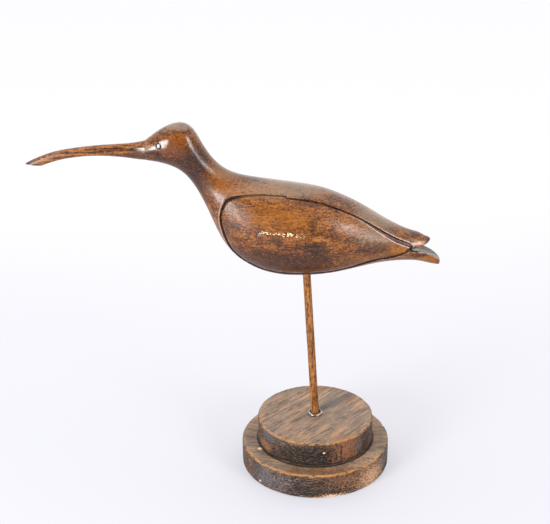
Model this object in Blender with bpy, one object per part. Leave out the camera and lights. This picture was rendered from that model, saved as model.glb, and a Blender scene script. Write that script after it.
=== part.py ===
"""Carved wooden curlew decoy on a thin rod above a base of two stacked discs.

World frame: the origin is the centre of the base's underside, +Z is up and the
bill points along -X, so that the bird's own left is at -Y. Sizes are millimetres,
and MM turns them into metres.
"""

import math

import bmesh
import bpy
import numpy as np
from mathutils import Matrix, Vector

MM = 0.001
GAP = 0.3                     # clearance between pieces that touch

# Ribs of the bird from the face to the tail end. Each row is
# back x, back z, belly x, belly z and half width, so a rib may lean.
BIRD_RIBS = (
    (-161.5, 354.9, -161.0, 335.0, 7.6),      # face, where the bill butts
    (-149.5, 363.8, -151.5, 334.0, 11.4),     # eyes
    (-135.5, 371.1, -142.5, 332.0, 14.4),     # forehead
    (-120.0, 369.0, -134.5, 328.6, 15.4),     # crown
    (-108.3, 351.4, -128.0, 324.2, 14.6),     # nape
    (-98.0, 334.7, -120.5, 316.2, 13.8),      # throat
    (-83.0, 321.4, -112.0, 302.0, 15.5),      # neck
    (-63.0, 315.3, -104.0, 284.6, 21.5),      # shoulder
    (-41.0, 311.8, -94.8, 262.8, 29.5),       # breast
    (-18.0, 308.2, -79.0, 238.8, 35.0),
    (5.0, 303.3, -51.0, 221.4, 37.5),         # fullest part
    (27.0, 294.3, -17.0, 216.3, 36.5),
    (48.0, 282.8, 19.0, 219.4, 31.5),
    (68.5, 270.4, 52.5, 227.1, 24.0),         # rump
    (87.5, 261.2, 80.0, 230.0, 16.0),         # wing tips
    (100.0, 256.8, 99.5, 228.4, 10.8),
    (107.0, 253.6, 113.0, 225.2, 8.4),
    (108.8, 252.4, 120.4, 224.4, 4.8),        # end of the back and of the tail
)
BIRD_SIDES = 40
RINGS_PER_RIB = 3
TAIL_END_ROUND = 3.0

# Ribs of the bill from its tip to the face, in the same form.
BILL_RIBS = (
    (-279.0, 331.6, -277.0, 324.0, 3.0),
    (-268.0, 337.5, -264.0, 329.8, 3.7),
    (-248.0, 344.7, -246.0, 336.1, 4.2),
    (-222.0, 349.1, -221.5, 340.2, 4.6),
    (-198.0, 351.2, -198.0, 340.4, 5.0),
    (-179.0, 352.2, -179.0, 338.3, 6.0),
    (-161.9, 354.5, -161.4, 335.3, 7.2),
)
BILL_SIDES = 20
BILL_RINGS_PER_RIB = 3
BILL_TIP = (-276.5, 332.9)                    # flat knife cut under the tip
BILL_HEEL = (-261.4, 331.6)

# Outline of a folded wing as the centre line of its carved groove:
# rib number, and degrees up the side of the bird from its widest line.
WING_EDGE = (
    (14.35, 6), (13.7, 29), (12.7, 46), (11.8, 55), (10.8, 58), (9.8, 57),
    (8.8, 53), (8.0, 46), (7.45, 29), (7.1, 11), (7.05, -10), (7.4, -34),
    (8.0, -52), (8.8, -64), (9.7, -71), (10.7, -73), (11.6, -64), (12.5, -43),
    (13.3, -28), (14.05, -17),
)
WING_STEPS = 4                                # groove points per outline row
GROOVE_WIDTH = 1.3                            # half width at the breast
GROOVE_DEPTH = 1.9
CHANNEL_WIDTH = 2.3                           # half width by the wing tip
CHANNEL_DEPTH = 3.6
CHANNEL_START = 11.5                          # rib where the groove opens out
GROOVE_LIFT = 0.35                            # share of the depth above the skin

# Notch between the overhanging back and the tail, as a side outline.
NOTCH_APEX = (90.0, 242.8)
NOTCH_ROOF = ((98.0, 246.8), (105.0, 248.8), (117.0, 250.6), (132.0, 252.0))
NOTCH_FLOOR = ((128.0, 221.5), (123.8, 226.8), (118.5, 232.6), (111.8, 237.0), (103.0, 240.4))
NOTCH_HALF_WIDTH = 30.0

# Shallow gouge along the top of the tail: x, z, half width and depth.
TAIL_GOUGE = (
    (93.0, 242.0, 3.0, 1.0),
    (97.0, 241.4, 7.0, 2.2),
    (104.0, 240.1, 8.4, 2.8),
    (111.5, 237.0, 6.6, 2.5),
    (117.5, 233.2, 4.2, 1.8),
    (121.0, 229.8, 1.8, 0.8),
)
GOUGE_SIDES = 12

EYE_RADIUS = 3.3
EYE_CENTRE = (-148.8, 9.7, 352.4)
EYE_RINGS = 8
EYE_SIDES = 14

ROD_RADIUS = 4.0
ROD_FOOT = (0.0, 54.0)                        # x and z at the top of the base
ROD_HEAD = (-8.8, 211.4)                      # x and z at the belly
ROD_IN_BASE = 20.0
ROD_IN_BODY = 18.0
ROD_SIDES = 20

COLLAR_OUTER = 7.4
COLLAR_INNER = 5.2
COLLAR_HEIGHT = 2.2
COLLAR_SIDES = 36

LOWER_RADIUS = 76.2                           # a six inch blank
LOWER_HEIGHT = 27.5
UPPER_RADIUS = 59.7
UPPER_TOP = 54.0
DISC_SIDES = 60
DISC_ROUND = 2.0


def clear_scene():
    """Remove every object so that the script can run again."""
    for item in list(bpy.data.objects):
        bpy.data.objects.remove(item, do_unlink=True)


def finish_colour(name, colour, roughness, metallic=0.0):
    """Return a Principled material of one colour."""
    material = bpy.data.materials.new(name)
    material.use_nodes = True
    shader = material.node_tree.nodes["Principled BSDF"]
    shader.inputs["Base Color"].default_value = (*colour, 1.0)
    shader.inputs["Roughness"].default_value = roughness
    shader.inputs["Metallic"].default_value = metallic
    return material


def millimetres(x, y, z):
    """Return a point in metres."""
    return Vector((x, y, z)) * MM


def new_object(name, bm, material=None, sharp_angle=35.0):
    """Turn a bmesh into a smooth shaded object; without a material it is a cutter."""
    bmesh.ops.recalc_face_normals(bm, faces=bm.faces)
    mesh = bpy.data.meshes.new(name)
    bm.to_mesh(mesh)
    bm.free()
    mesh.shade_smooth()
    mesh.set_sharp_from_angle(angle=math.radians(sharp_angle))
    thing = bpy.data.objects.new(name, mesh)
    bpy.context.scene.collection.objects.link(thing)
    if material is None:
        thing.hide_render = True
        thing.display_type = "WIRE"
    else:
        mesh.materials.append(material)
    return thing


def cut(target, cutter):
    """Take the cutter out of the target."""
    boolean = target.modifiers.new(cutter.name, "BOOLEAN")
    boolean.operation = "DIFFERENCE"
    boolean.solver = "EXACT"
    boolean.object = cutter


class Spline:
    """Natural cubic through rows of values at whole numbers 0, 1, 2 and on."""

    def __init__(self, rows):
        self.rows = np.array(rows, dtype=float)
        count = len(rows)
        system = np.eye(count)
        bend = np.zeros_like(self.rows)
        for i in range(1, count - 1):
            system[i, i - 1:i + 2] = (1.0, 4.0, 1.0)
            bend[i] = 6.0 * (self.rows[i - 1] - 2.0 * self.rows[i] + self.rows[i + 1])
        self.bend = np.linalg.solve(system, bend)

    def at(self, place):
        """Return the row of values at a place between two whole numbers."""
        last = len(self.rows) - 2
        low = min(max(int(place), 0), last)
        after = place - low
        before = 1.0 - after
        line = before * self.rows[low] + after * self.rows[low + 1]
        bow = (before ** 3 - before) * self.bend[low] + (after ** 3 - after) * self.bend[low + 1]
        return line + bow / 6.0


class Loft:
    """Smooth form through leaning elliptical ribs."""

    def __init__(self, ribs):
        self.spline = Spline(ribs)
        self.last = len(ribs) - 1

    def rib(self, place):
        """Return a rib's centre, its half height as a vector and its half width."""
        back_x, back_z, belly_x, belly_z, half_width = self.spline.at(place)
        back = Vector((back_x, 0.0, back_z))
        belly = Vector((belly_x, 0.0, belly_z))
        return (back + belly) / 2.0, (back - belly) / 2.0, half_width

    def skin(self, place, degrees, side):
        """Return the point on the skin; side is -1 or +1 along Y."""
        centre, rise, half_width = self.rib(place)
        angle = math.radians(degrees)
        outward = Vector((0.0, side * half_width * math.cos(angle), 0.0))
        return centre + rise * math.sin(angle) + outward


def ring(bm, centre, across, rise, sides):
    """Add an elliptical ring of edges with the two given half axes."""
    place = Matrix.Identity(4)
    place.col[0][:3] = rise * MM
    place.col[1][:3] = across * MM
    place.col[3][:3] = centre * MM
    made = bmesh.ops.create_circle(bm, cap_ends=False, radius=1.0, segments=sides, matrix=place)
    corners = set(made["verts"])
    return [edge for edge in bm.edges if edge.verts[0] in corners and edge.verts[1] in corners]


def skin_rings(bm, rings, closed=False):
    """Bridge the rings in order; an open run gets flat ends."""
    for first, second in zip(rings, rings[1:]):
        bmesh.ops.bridge_loops(bm, edges=first + second)
    if closed:
        bmesh.ops.bridge_loops(bm, edges=rings[-1] + rings[0])
    else:
        bmesh.ops.edgeloop_fill(bm, edges=rings[0])
        bmesh.ops.edgeloop_fill(bm, edges=rings[-1])


def loft_mesh(loft, sides, rings_per_rib, end_round=0.0):
    """Return a bmesh of the loft, with its last end rounded over by end_round."""
    bm = bmesh.new()
    rings = []
    for step in range(loft.last * rings_per_rib + 1):
        centre, rise, half_width = loft.rib(step / rings_per_rib)
        rings.append(ring(bm, centre, Vector((0.0, half_width, 0.0)), rise, sides))
    if end_round:
        outward = Vector((rise.z, 0.0, -rise.x)).normalized()
        for degrees in (30, 55, 75):
            angle = math.radians(degrees)
            inset = end_round * (1.0 - math.cos(angle))
            middle = centre + outward * end_round * math.sin(angle)
            across = Vector((0.0, half_width - inset, 0.0))
            rings.append(ring(bm, middle, across, rise * (1.0 - inset / rise.length), sides))
    skin_rings(bm, rings)
    return bm


def wing_groove(loft, side):
    """Return the cutter of one wing's outline: a closed tube of diamond section."""
    rows = np.array(WING_EDGE, dtype=float)
    count = len(rows)
    path = []
    for i in range(count):
        near = [rows[(i + k) % count] for k in (-1, 0, 1, 2)]
        for step in range(WING_STEPS):
            s = step / WING_STEPS
            place = 0.5 * (2.0 * near[1] + (near[2] - near[0]) * s
                           + (2.0 * near[0] - 5.0 * near[1] + 4.0 * near[2] - near[3]) * s ** 2
                           + (3.0 * near[1] - near[0] - 3.0 * near[2] + near[3]) * s ** 3)
            path.append((place[0], place[1]))
    points = [loft.skin(station, degrees, side) for station, degrees in path]
    bm = bmesh.new()
    rings = []
    for i, (station, degrees) in enumerate(path):
        along = (points[(i + 1) % len(points)] - points[i - 1]).normalized()
        up_skin = loft.skin(station, degrees + 2.0, side) - loft.skin(station, degrees - 2.0, side)
        down_body = loft.skin(station + 0.05, degrees, side) - loft.skin(station - 0.05, degrees, side)
        outward = up_skin.cross(down_body).normalized()
        if outward.y * side < 0.0:
            outward.negate()
        across = along.cross(outward).normalized()
        opening = min(max((station - CHANNEL_START) / (loft.last - 3.0 - CHANNEL_START), 0.0), 1.0)
        if degrees < 0.0:
            opening *= 0.35
        width = GROOVE_WIDTH + (CHANNEL_WIDTH - GROOVE_WIDTH) * opening
        depth = GROOVE_DEPTH + (CHANNEL_DEPTH - GROOVE_DEPTH) * opening
        centre = points[i] + outward * depth * GROOVE_LIFT
        rings.append(ring(bm, centre, across * width * (1.0 + GROOVE_LIFT),
                          outward * depth * (1.0 + GROOVE_LIFT), 4))
    skin_rings(bm, rings, closed=True)
    return new_object("wing_groove_left" if side < 0 else "wing_groove_right", bm)


def tail_notch():
    """Return the wedge that parts the overhanging back from the tail."""
    bm = bmesh.new()
    outline = (NOTCH_APEX, *NOTCH_ROOF, *NOTCH_FLOOR)
    corners = [bm.verts.new(millimetres(x, -NOTCH_HALF_WIDTH, z)) for x, z in outline]
    face = bm.faces.new(corners)
    grown = bmesh.ops.extrude_face_region(bm, geom=[face])["geom"]
    far = [item for item in grown if isinstance(item, bmesh.types.BMVert)]
    bmesh.ops.translate(bm, verts=far, vec=millimetres(0.0, 2.0 * NOTCH_HALF_WIDTH, 0.0))
    return new_object("tail_notch", bm)


def tail_gouge():
    """Return the slim lens that hollows the top of the tail."""
    bm = bmesh.new()
    rings = []
    for x, z, half_width, depth in TAIL_GOUGE:
        centre = Vector((x, 0.0, z))
        across = Vector((0.0, half_width, 0.0))
        rings.append(ring(bm, centre, across, Vector((0.0, 0.0, depth)), GOUGE_SIDES))
    skin_rings(bm, rings)
    return new_object("tail_gouge", bm)


def rod_run(name, radius, below, above, material=None):
    """Return a round bar along the leaning rod, past its foot and head by two lengths."""
    foot = Vector((ROD_FOOT[0], 0.0, ROD_FOOT[1]))
    head = Vector((ROD_HEAD[0], 0.0, ROD_HEAD[1]))
    along = (head - foot).normalized()
    low = foot - along * below
    high = head + along * above
    bm = bmesh.new()
    turn = Vector((0.0, 0.0, 1.0)).rotation_difference(along).to_matrix().to_4x4()
    place = Matrix.Translation((low + high) / 2.0 * MM) @ turn
    bmesh.ops.create_cone(bm, cap_ends=True, segments=ROD_SIDES, radius1=radius * MM, radius2=radius * MM,
                          depth=(high - low).length * MM, matrix=place)
    return new_object(name, bm, material)


def bead(name, side, radius, material=None):
    """Return a sphere at one eye."""
    x, y, z = EYE_CENTRE
    bm = bmesh.new()
    place = Matrix.Translation(millimetres(x, side * y, z)) @ Matrix.Rotation(math.pi / 2.0, 4, "X")
    bmesh.ops.create_uvsphere(bm, u_segments=EYE_SIDES, v_segments=EYE_RINGS, radius=radius * MM,
                              matrix=place)
    return new_object(name, bm, material)


def make_bird(wood):
    """Carve the bird from one lofted block."""
    loft = Loft(BIRD_RIBS)
    body = new_object("body", loft_mesh(loft, BIRD_SIDES, RINGS_PER_RIB, TAIL_END_ROUND), wood)
    cut(body, tail_notch())
    cut(body, tail_gouge())
    for side in (-1, 1):
        cut(body, wing_groove(loft, side))
        cut(body, bead("eye_socket_left" if side < 0 else "eye_socket_right", side, EYE_RADIUS + GAP))
    cut(body, rod_run("rod_socket_body", ROD_RADIUS + GAP, -60.0, ROD_IN_BODY + GAP))


def make_bill(wood):
    """Make the bill and slice its underside flat at the tip."""
    bm = loft_mesh(Loft(BILL_RIBS), BILL_SIDES, BILL_RINGS_PER_RIB)
    tip = millimetres(BILL_TIP[0], 0.0, BILL_TIP[1])
    heel = millimetres(BILL_HEEL[0], 0.0, BILL_HEEL[1])
    along = heel - tip
    downward = Vector((along.z, 0.0, -along.x))
    geometry = bm.verts[:] + bm.edges[:] + bm.faces[:]
    sliced = bmesh.ops.bisect_plane(bm, geom=geometry, plane_co=tip, plane_no=downward, clear_outer=True)
    rim = [item for item in sliced["geom_cut"] if isinstance(item, bmesh.types.BMEdge)]
    bmesh.ops.edgeloop_fill(bm, edges=rim)
    new_object("bill", bm, wood)


def make_eyes(glass):
    """Set one bead in each side of the head."""
    bead("eye_left", -1, EYE_RADIUS, glass)
    bead("eye_right", 1, EYE_RADIUS, glass)


def make_disc(name, radius, bottom, top, wood):
    """Turn one disc of the base with its rims eased."""
    bm = bmesh.new()
    place = Matrix.Translation(millimetres(0.0, 0.0, (bottom + top) / 2.0))
    bmesh.ops.create_cone(bm, cap_ends=True, segments=DISC_SIDES, radius1=radius * MM, radius2=radius * MM,
                          depth=(top - bottom) * MM, matrix=place)
    rims = [edge for edge in bm.edges if abs(edge.verts[0].co.z - edge.verts[1].co.z) < GAP * MM]
    bmesh.ops.bevel(bm, geom=rims, offset=DISC_ROUND * MM, segments=2, profile=0.5, affect="EDGES",
                    material=-1)
    return new_object(name, bm, wood)


def make_collar(metal):
    """Make the small flat ring around the foot of the rod."""
    bm = bmesh.new()
    low = UPPER_TOP + GAP
    high = low + COLLAR_HEIGHT
    rings = []
    for radius, z in ((COLLAR_INNER, low), (COLLAR_OUTER, low), (COLLAR_OUTER, high), (COLLAR_INNER, high)):
        centre = Vector((0.0, 0.0, z))
        rings.append(ring(bm, centre, Vector((0.0, radius, 0.0)), Vector((radius, 0.0, 0.0)), COLLAR_SIDES))
    skin_rings(bm, rings, closed=True)
    new_object("rod_collar", bm, metal)


def main():
    """Build the bird, its rod and its base."""
    clear_scene()
    bird_wood = finish_colour("varnished_wood", (0.26, 0.10, 0.03), 0.35)
    bill_wood = finish_colour("bill_wood", (0.20, 0.07, 0.02), 0.35)
    rod_wood = finish_colour("rod_wood", (0.30, 0.13, 0.04), 0.45)
    base_wood = finish_colour("weathered_wood", (0.16, 0.09, 0.045), 0.8)
    glass = finish_colour("eye_glass", (0.01, 0.01, 0.01), 0.08)
    metal = finish_colour("collar_metal", (0.62, 0.60, 0.55), 0.3, 1.0)

    make_bird(bird_wood)
    make_bill(bill_wood)
    make_eyes(glass)
    rod_run("leg_rod", ROD_RADIUS, ROD_IN_BASE, ROD_IN_BODY, rod_wood)
    make_collar(metal)
    make_disc("lower_disc", LOWER_RADIUS, 0.0, LOWER_HEIGHT - GAP, base_wood)
    upper = make_disc("upper_disc", UPPER_RADIUS, LOWER_HEIGHT, UPPER_TOP, base_wood)
    cut(upper, rod_run("rod_socket_base", ROD_RADIUS + GAP, ROD_IN_BASE + GAP, -100.0))


main()
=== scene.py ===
"""Dressed model of a carved curlew decoy on a thin rod above a base of two stacked discs.

The frame is in metres with +Z up; the bill points along -X and the bird's own left is
at -Y. Lengths in this script are millimetres unless their name says otherwise, and MM
turns them into metres.
"""

import logging
import math
from dataclasses import dataclass
from enum import Enum
from typing import Sequence

import bmesh
import bpy
import numpy as np
from mathutils import Matrix, Vector, noise
from mathutils.kdtree import KDTree


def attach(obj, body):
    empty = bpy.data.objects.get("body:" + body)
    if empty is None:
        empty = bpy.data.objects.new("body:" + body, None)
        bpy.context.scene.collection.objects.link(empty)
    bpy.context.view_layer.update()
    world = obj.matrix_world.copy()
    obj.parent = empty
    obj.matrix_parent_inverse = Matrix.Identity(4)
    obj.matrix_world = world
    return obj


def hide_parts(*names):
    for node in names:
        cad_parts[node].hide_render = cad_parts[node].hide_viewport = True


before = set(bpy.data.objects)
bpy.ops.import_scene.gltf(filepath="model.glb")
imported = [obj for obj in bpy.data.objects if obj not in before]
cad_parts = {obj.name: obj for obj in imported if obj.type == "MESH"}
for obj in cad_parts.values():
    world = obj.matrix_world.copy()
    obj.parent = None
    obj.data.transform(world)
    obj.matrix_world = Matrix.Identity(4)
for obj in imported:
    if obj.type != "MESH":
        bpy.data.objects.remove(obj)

MM = 0.001
LOG = logging.getLogger("decoy")

Colour = tuple[float, float, float]
Socket = bpy.types.NodeSocket
Level = float | Socket


class Side(Enum):
    """One side of the bird, as the sign of Y."""

    LEFT = -1
    RIGHT = 1


class Slot(Enum):
    """The record's material slots."""

    BIRD = "bird_wood"
    BILL = "bill_wood"
    ROD = "rod_wood"
    BASE = "base_wood"
    EYE = "eye_glass"
    COLLAR = "collar_metal"


# Node trees


class Recipe:
    """A Principled material whose patterns are laid out in millimetres on the object."""

    def __init__(self, name: str) -> None:
        """Start a material with its place socket ready.

        Args:
            name: Name of the material.
        """
        self.material = bpy.data.materials.new(name)
        self.material.use_nodes = True
        self.tree = self.material.node_tree
        self.shader = self.tree.nodes["Principled BSDF"]
        coordinates = self.tree.nodes.new("ShaderNodeTexCoord")
        self.place = self.vector("SCALE", coordinates.outputs["Object"], scale=1.0 / MM)

    def link(self, value: object, socket: Socket) -> None:
        """Put a value or another node's output on a socket.

        Args:
            value: A number, a tuple or an output socket.
            socket: The input that takes it.
        """
        if isinstance(value, Socket):
            self.tree.links.new(value, socket)
        elif isinstance(value, (int, float)) and socket.type in ("VECTOR", "RGBA"):
            socket.default_value = (value,) * len(socket.default_value)
        elif socket.type == "RGBA":
            socket.default_value = (*value, 1.0)[:4]
        else:
            socket.default_value = value

    def math(self, operation: str, *values: Level, clamp: bool = False) -> Socket:
        """Return the result of a Math node.

        Args:
            operation: The node's operation.
            values: Its inputs in order.
            clamp: Whether the result is held between 0 and 1.

        Returns:
            The node's output.
        """
        node = self.tree.nodes.new("ShaderNodeMath")
        node.operation = operation
        node.use_clamp = clamp
        for value, socket in zip(values, node.inputs):
            self.link(value, socket)
        return node.outputs[0]

    def vector(self, operation: str, *values: object, scale: float = 1.0) -> Socket:
        """Return the result of a Vector Math node.

        Args:
            operation: The node's operation.
            values: Its vector inputs in order.
            scale: The factor of a SCALE operation.

        Returns:
            The node's output, which is a number for LENGTH and DOT_PRODUCT.
        """
        node = self.tree.nodes.new("ShaderNodeVectorMath")
        node.operation = operation
        if operation == "SCALE":
            node.inputs["Scale"].default_value = scale
        for value, socket in zip(values, node.inputs):
            self.link(value, socket)
        return node.outputs["Value" if operation in ("LENGTH", "DOT_PRODUCT") else "Vector"]

    def turned(self, degrees: float, place: Socket | None = None, lean: float = 0.0) -> Socket:
        """Return the place turned about +Z, so that its X runs along the grain.

        Args:
            degrees: Direction of the grain from +X towards +Y.
            place: The place to turn.
            lean: Rise of the grain from +X towards +Z.

        Returns:
            The turned place.
        """
        node = self.tree.nodes.new("ShaderNodeMapping")
        node.inputs["Rotation"].default_value = (0.0, math.radians(lean), -math.radians(degrees))
        self.link(place or self.place, node.inputs["Vector"])
        return node.outputs[0]

    def folded(self) -> Socket:
        """Return the place with its right half laid over the left one."""
        x, y, z = (self.axis(letter) for letter in "XYZ")
        node = self.tree.nodes.new("ShaderNodeCombineXYZ")
        for value, socket in zip((x, self.math("MULTIPLY", self.math("ABSOLUTE", y), -1.0), z), node.inputs):
            self.link(value, socket)
        return node.outputs[0]

    def noise(self, size: float | Colour, detail: float = 2.0, rough: float = 0.5, shift: float = 0.0,
              place: Socket | None = None, warp: float = 0.0) -> Socket:
        """Return a noise pattern.

        Args:
            size: Size of its features, one number or one for each axis.
            detail: Number of finer layers.
            rough: Strength of the finer layers.
            shift: Offset that makes two patterns differ.
            place: Where it is read, if not on the plain place.
            warp: The node's own distortion.

        Returns:
            A number around 0.5.
        """
        sizes = size if isinstance(size, tuple) else (size,) * 3
        scaled = self.vector("MULTIPLY", place or self.place, tuple(1.0 / item for item in sizes))
        moved = self.vector("ADD", scaled, (shift, shift * 0.7, shift * 1.3))
        node = self.tree.nodes.new("ShaderNodeTexNoise")
        self.link(moved, node.inputs["Vector"])
        node.inputs["Scale"].default_value = 1.0
        node.inputs["Detail"].default_value = detail
        node.inputs["Roughness"].default_value = rough
        node.inputs["Distortion"].default_value = warp
        return node.outputs["Fac"]

    def fade(self, value: Level, start: float, end: float) -> Socket:
        """Return a smooth step from 0 at start to 1 at end.

        Args:
            value: What is measured.
            start: Where the result is 0.
            end: Where the result is 1.

        Returns:
            A number from 0 to 1.
        """
        node = self.tree.nodes.new("ShaderNodeMapRange")
        node.interpolation_type = "SMOOTHSTEP"
        falling = start > end
        self.link(value, node.inputs["Value"])
        node.inputs["From Min"].default_value = end if falling else start
        node.inputs["From Max"].default_value = start if falling else end
        node.inputs["To Min"].default_value = 1.0 if falling else 0.0
        node.inputs["To Max"].default_value = 0.0 if falling else 1.0
        return node.outputs["Result"]

    def axis(self, letter: str, place: Socket | None = None) -> Socket:
        """Return one coordinate of a place.

        Args:
            letter: X, Y or Z.
            place: The place, if not the plain one.

        Returns:
            The coordinate in millimetres.
        """
        node = self.tree.nodes.new("ShaderNodeSeparateXYZ")
        self.link(place or self.place, node.inputs[0])
        return node.outputs[letter]

    def spot(self, centre: Colour, radii: Colour, soft: float = 0.5, ragged: float = 0.35,
             grain: float = 6.0, shift: float = 0.0, place: Socket | None = None) -> Socket:
        """Return a soft ragged patch around a place.

        Args:
            centre: Middle of the patch.
            radii: Its half sizes along X, Y and Z.
            soft: Share of the radius over which it fades.
            ragged: How far noise pushes its edge, as a share of the radius.
            grain: Size of that noise.
            shift: Offset of that noise.
            place: Where it is read, if not on the plain place.

        Returns:
            1 in the middle, falling to 0 outside.
        """
        away = self.vector("SUBTRACT", place or self.place, centre)
        share = self.vector("LENGTH", self.vector("DIVIDE", away, radii))
        push = self.math("MULTIPLY_ADD", self.noise(grain, 3.0, 0.6, shift), ragged * 4.0, -ragged * 2.0)
        return self.fade(self.math("ADD", share, push), 1.0 + soft / 2.0, 1.0 - soft / 2.0)

    def ramp(self, level: Level, *stops: tuple[float, Colour]) -> Socket:
        """Return a colour read from a ramp.

        Args:
            level: Where the ramp is read.
            stops: Place and colour of each stop.

        Returns:
            The colour.
        """
        node = self.tree.nodes.new("ShaderNodeValToRGB")
        points = node.color_ramp.elements
        while len(points) < len(stops):
            points.new(0.5)
        for point, (where, colour) in zip(points, stops):
            point.position = where
            point.color = (*colour, 1.0)
        self.link(level, node.inputs[0])
        return node.outputs["Color"]

    def mix(self, share: Level, first: object, second: object, kind: str = "MIX") -> Socket:
        """Return two colours mixed.

        Args:
            share: How much of the second shows.
            first: Colour below.
            second: Colour above.
            kind: The blend type.

        Returns:
            The mixed colour.
        """
        node = self.tree.nodes.new("ShaderNodeMix")
        node.data_type = "RGBA"
        node.blend_type = kind
        self.link(share, node.inputs["Factor"])
        self.link(first, [item for item in node.inputs if item.name == "A"][-2])
        self.link(second, [item for item in node.inputs if item.name == "B"][-2])
        return [item for item in node.outputs if item.type == "RGBA"][0]

    def attribute(self, name: str) -> Socket:
        """Return a named number that the mesh carries.

        Args:
            name: The attribute's name.

        Returns:
            Its value.
        """
        node = self.tree.nodes.new("ShaderNodeAttribute")
        node.attribute_name = name
        return node.outputs["Fac"]

    def bump(self, height: Level, below: Socket | None = None) -> Socket:
        """Return a normal bent by a height in millimetres.

        Args:
            height: The relief.
            below: Another bump that this one adds to.

        Returns:
            The normal.
        """
        node = self.tree.nodes.new("ShaderNodeBump")
        node.inputs["Distance"].default_value = MM
        self.link(height, node.inputs["Height"])
        if below is not None:
            self.link(below, node.inputs["Normal"])
        return node.outputs[0]

    def total(self, *parts: tuple[Level, float]) -> Socket:
        """Return a sum of patterns, each times its weight.

        Args:
            parts: Pattern and weight of each.

        Returns:
            The sum.
        """
        result: Level = 0.0
        for level, weight in parts:
            result = self.math("MULTIPLY_ADD", level, weight, result)
        return result

    def dress(self, colour: object, roughness: Level, normal: Socket | None,
              **plain: float) -> bpy.types.Material:
        """Connect the shader and return the material.

        Args:
            colour: Base colour.
            roughness: Roughness.
            normal: Bent normal, if any.
            plain: Values set on the shader's own sockets, by socket name with _ for spaces.

        Returns:
            The finished material.
        """
        self.link(colour, self.shader.inputs["Base Color"])
        self.link(roughness, self.shader.inputs["Roughness"])
        if normal is not None:
            self.link(normal, self.shader.inputs["Normal"])
        for name, value in plain.items():
            self.shader.inputs[name.replace("_", " ")].default_value = value
        return self.material


# Finishes


@dataclass(frozen=True)
class Stain:
    """One ragged patch of another colour, whose radii may be turned about +Z."""

    colour: Colour
    centre: Colour
    radii: Colour
    strength: float
    grain: float = 3.5
    ragged: float = 0.35
    soft: float = 0.8
    turn: float = 0.0

    def lay(self, r: Recipe, below: Socket, shift: float, place: Socket | None = None) -> Socket:
        """Mix the patch over a colour.

        Args:
            r: The recipe.
            below: Colour below.
            shift: Offset of its ragged edge.
            place: Where it is read, if not on the plain place.

        Returns:
            The colour with the patch.
        """
        x, y, z = self.centre
        turn = math.radians(self.turn)
        middle = (x * math.cos(turn) + y * math.sin(turn), y * math.cos(turn) - x * math.sin(turn), z)
        where = r.turned(self.turn, place) if self.turn else place
        spot = r.spot(middle, self.radii, self.soft, self.ragged, self.grain, shift, where)
        return r.mix(r.math("MULTIPLY", spot, self.strength), below, self.colour)


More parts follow.
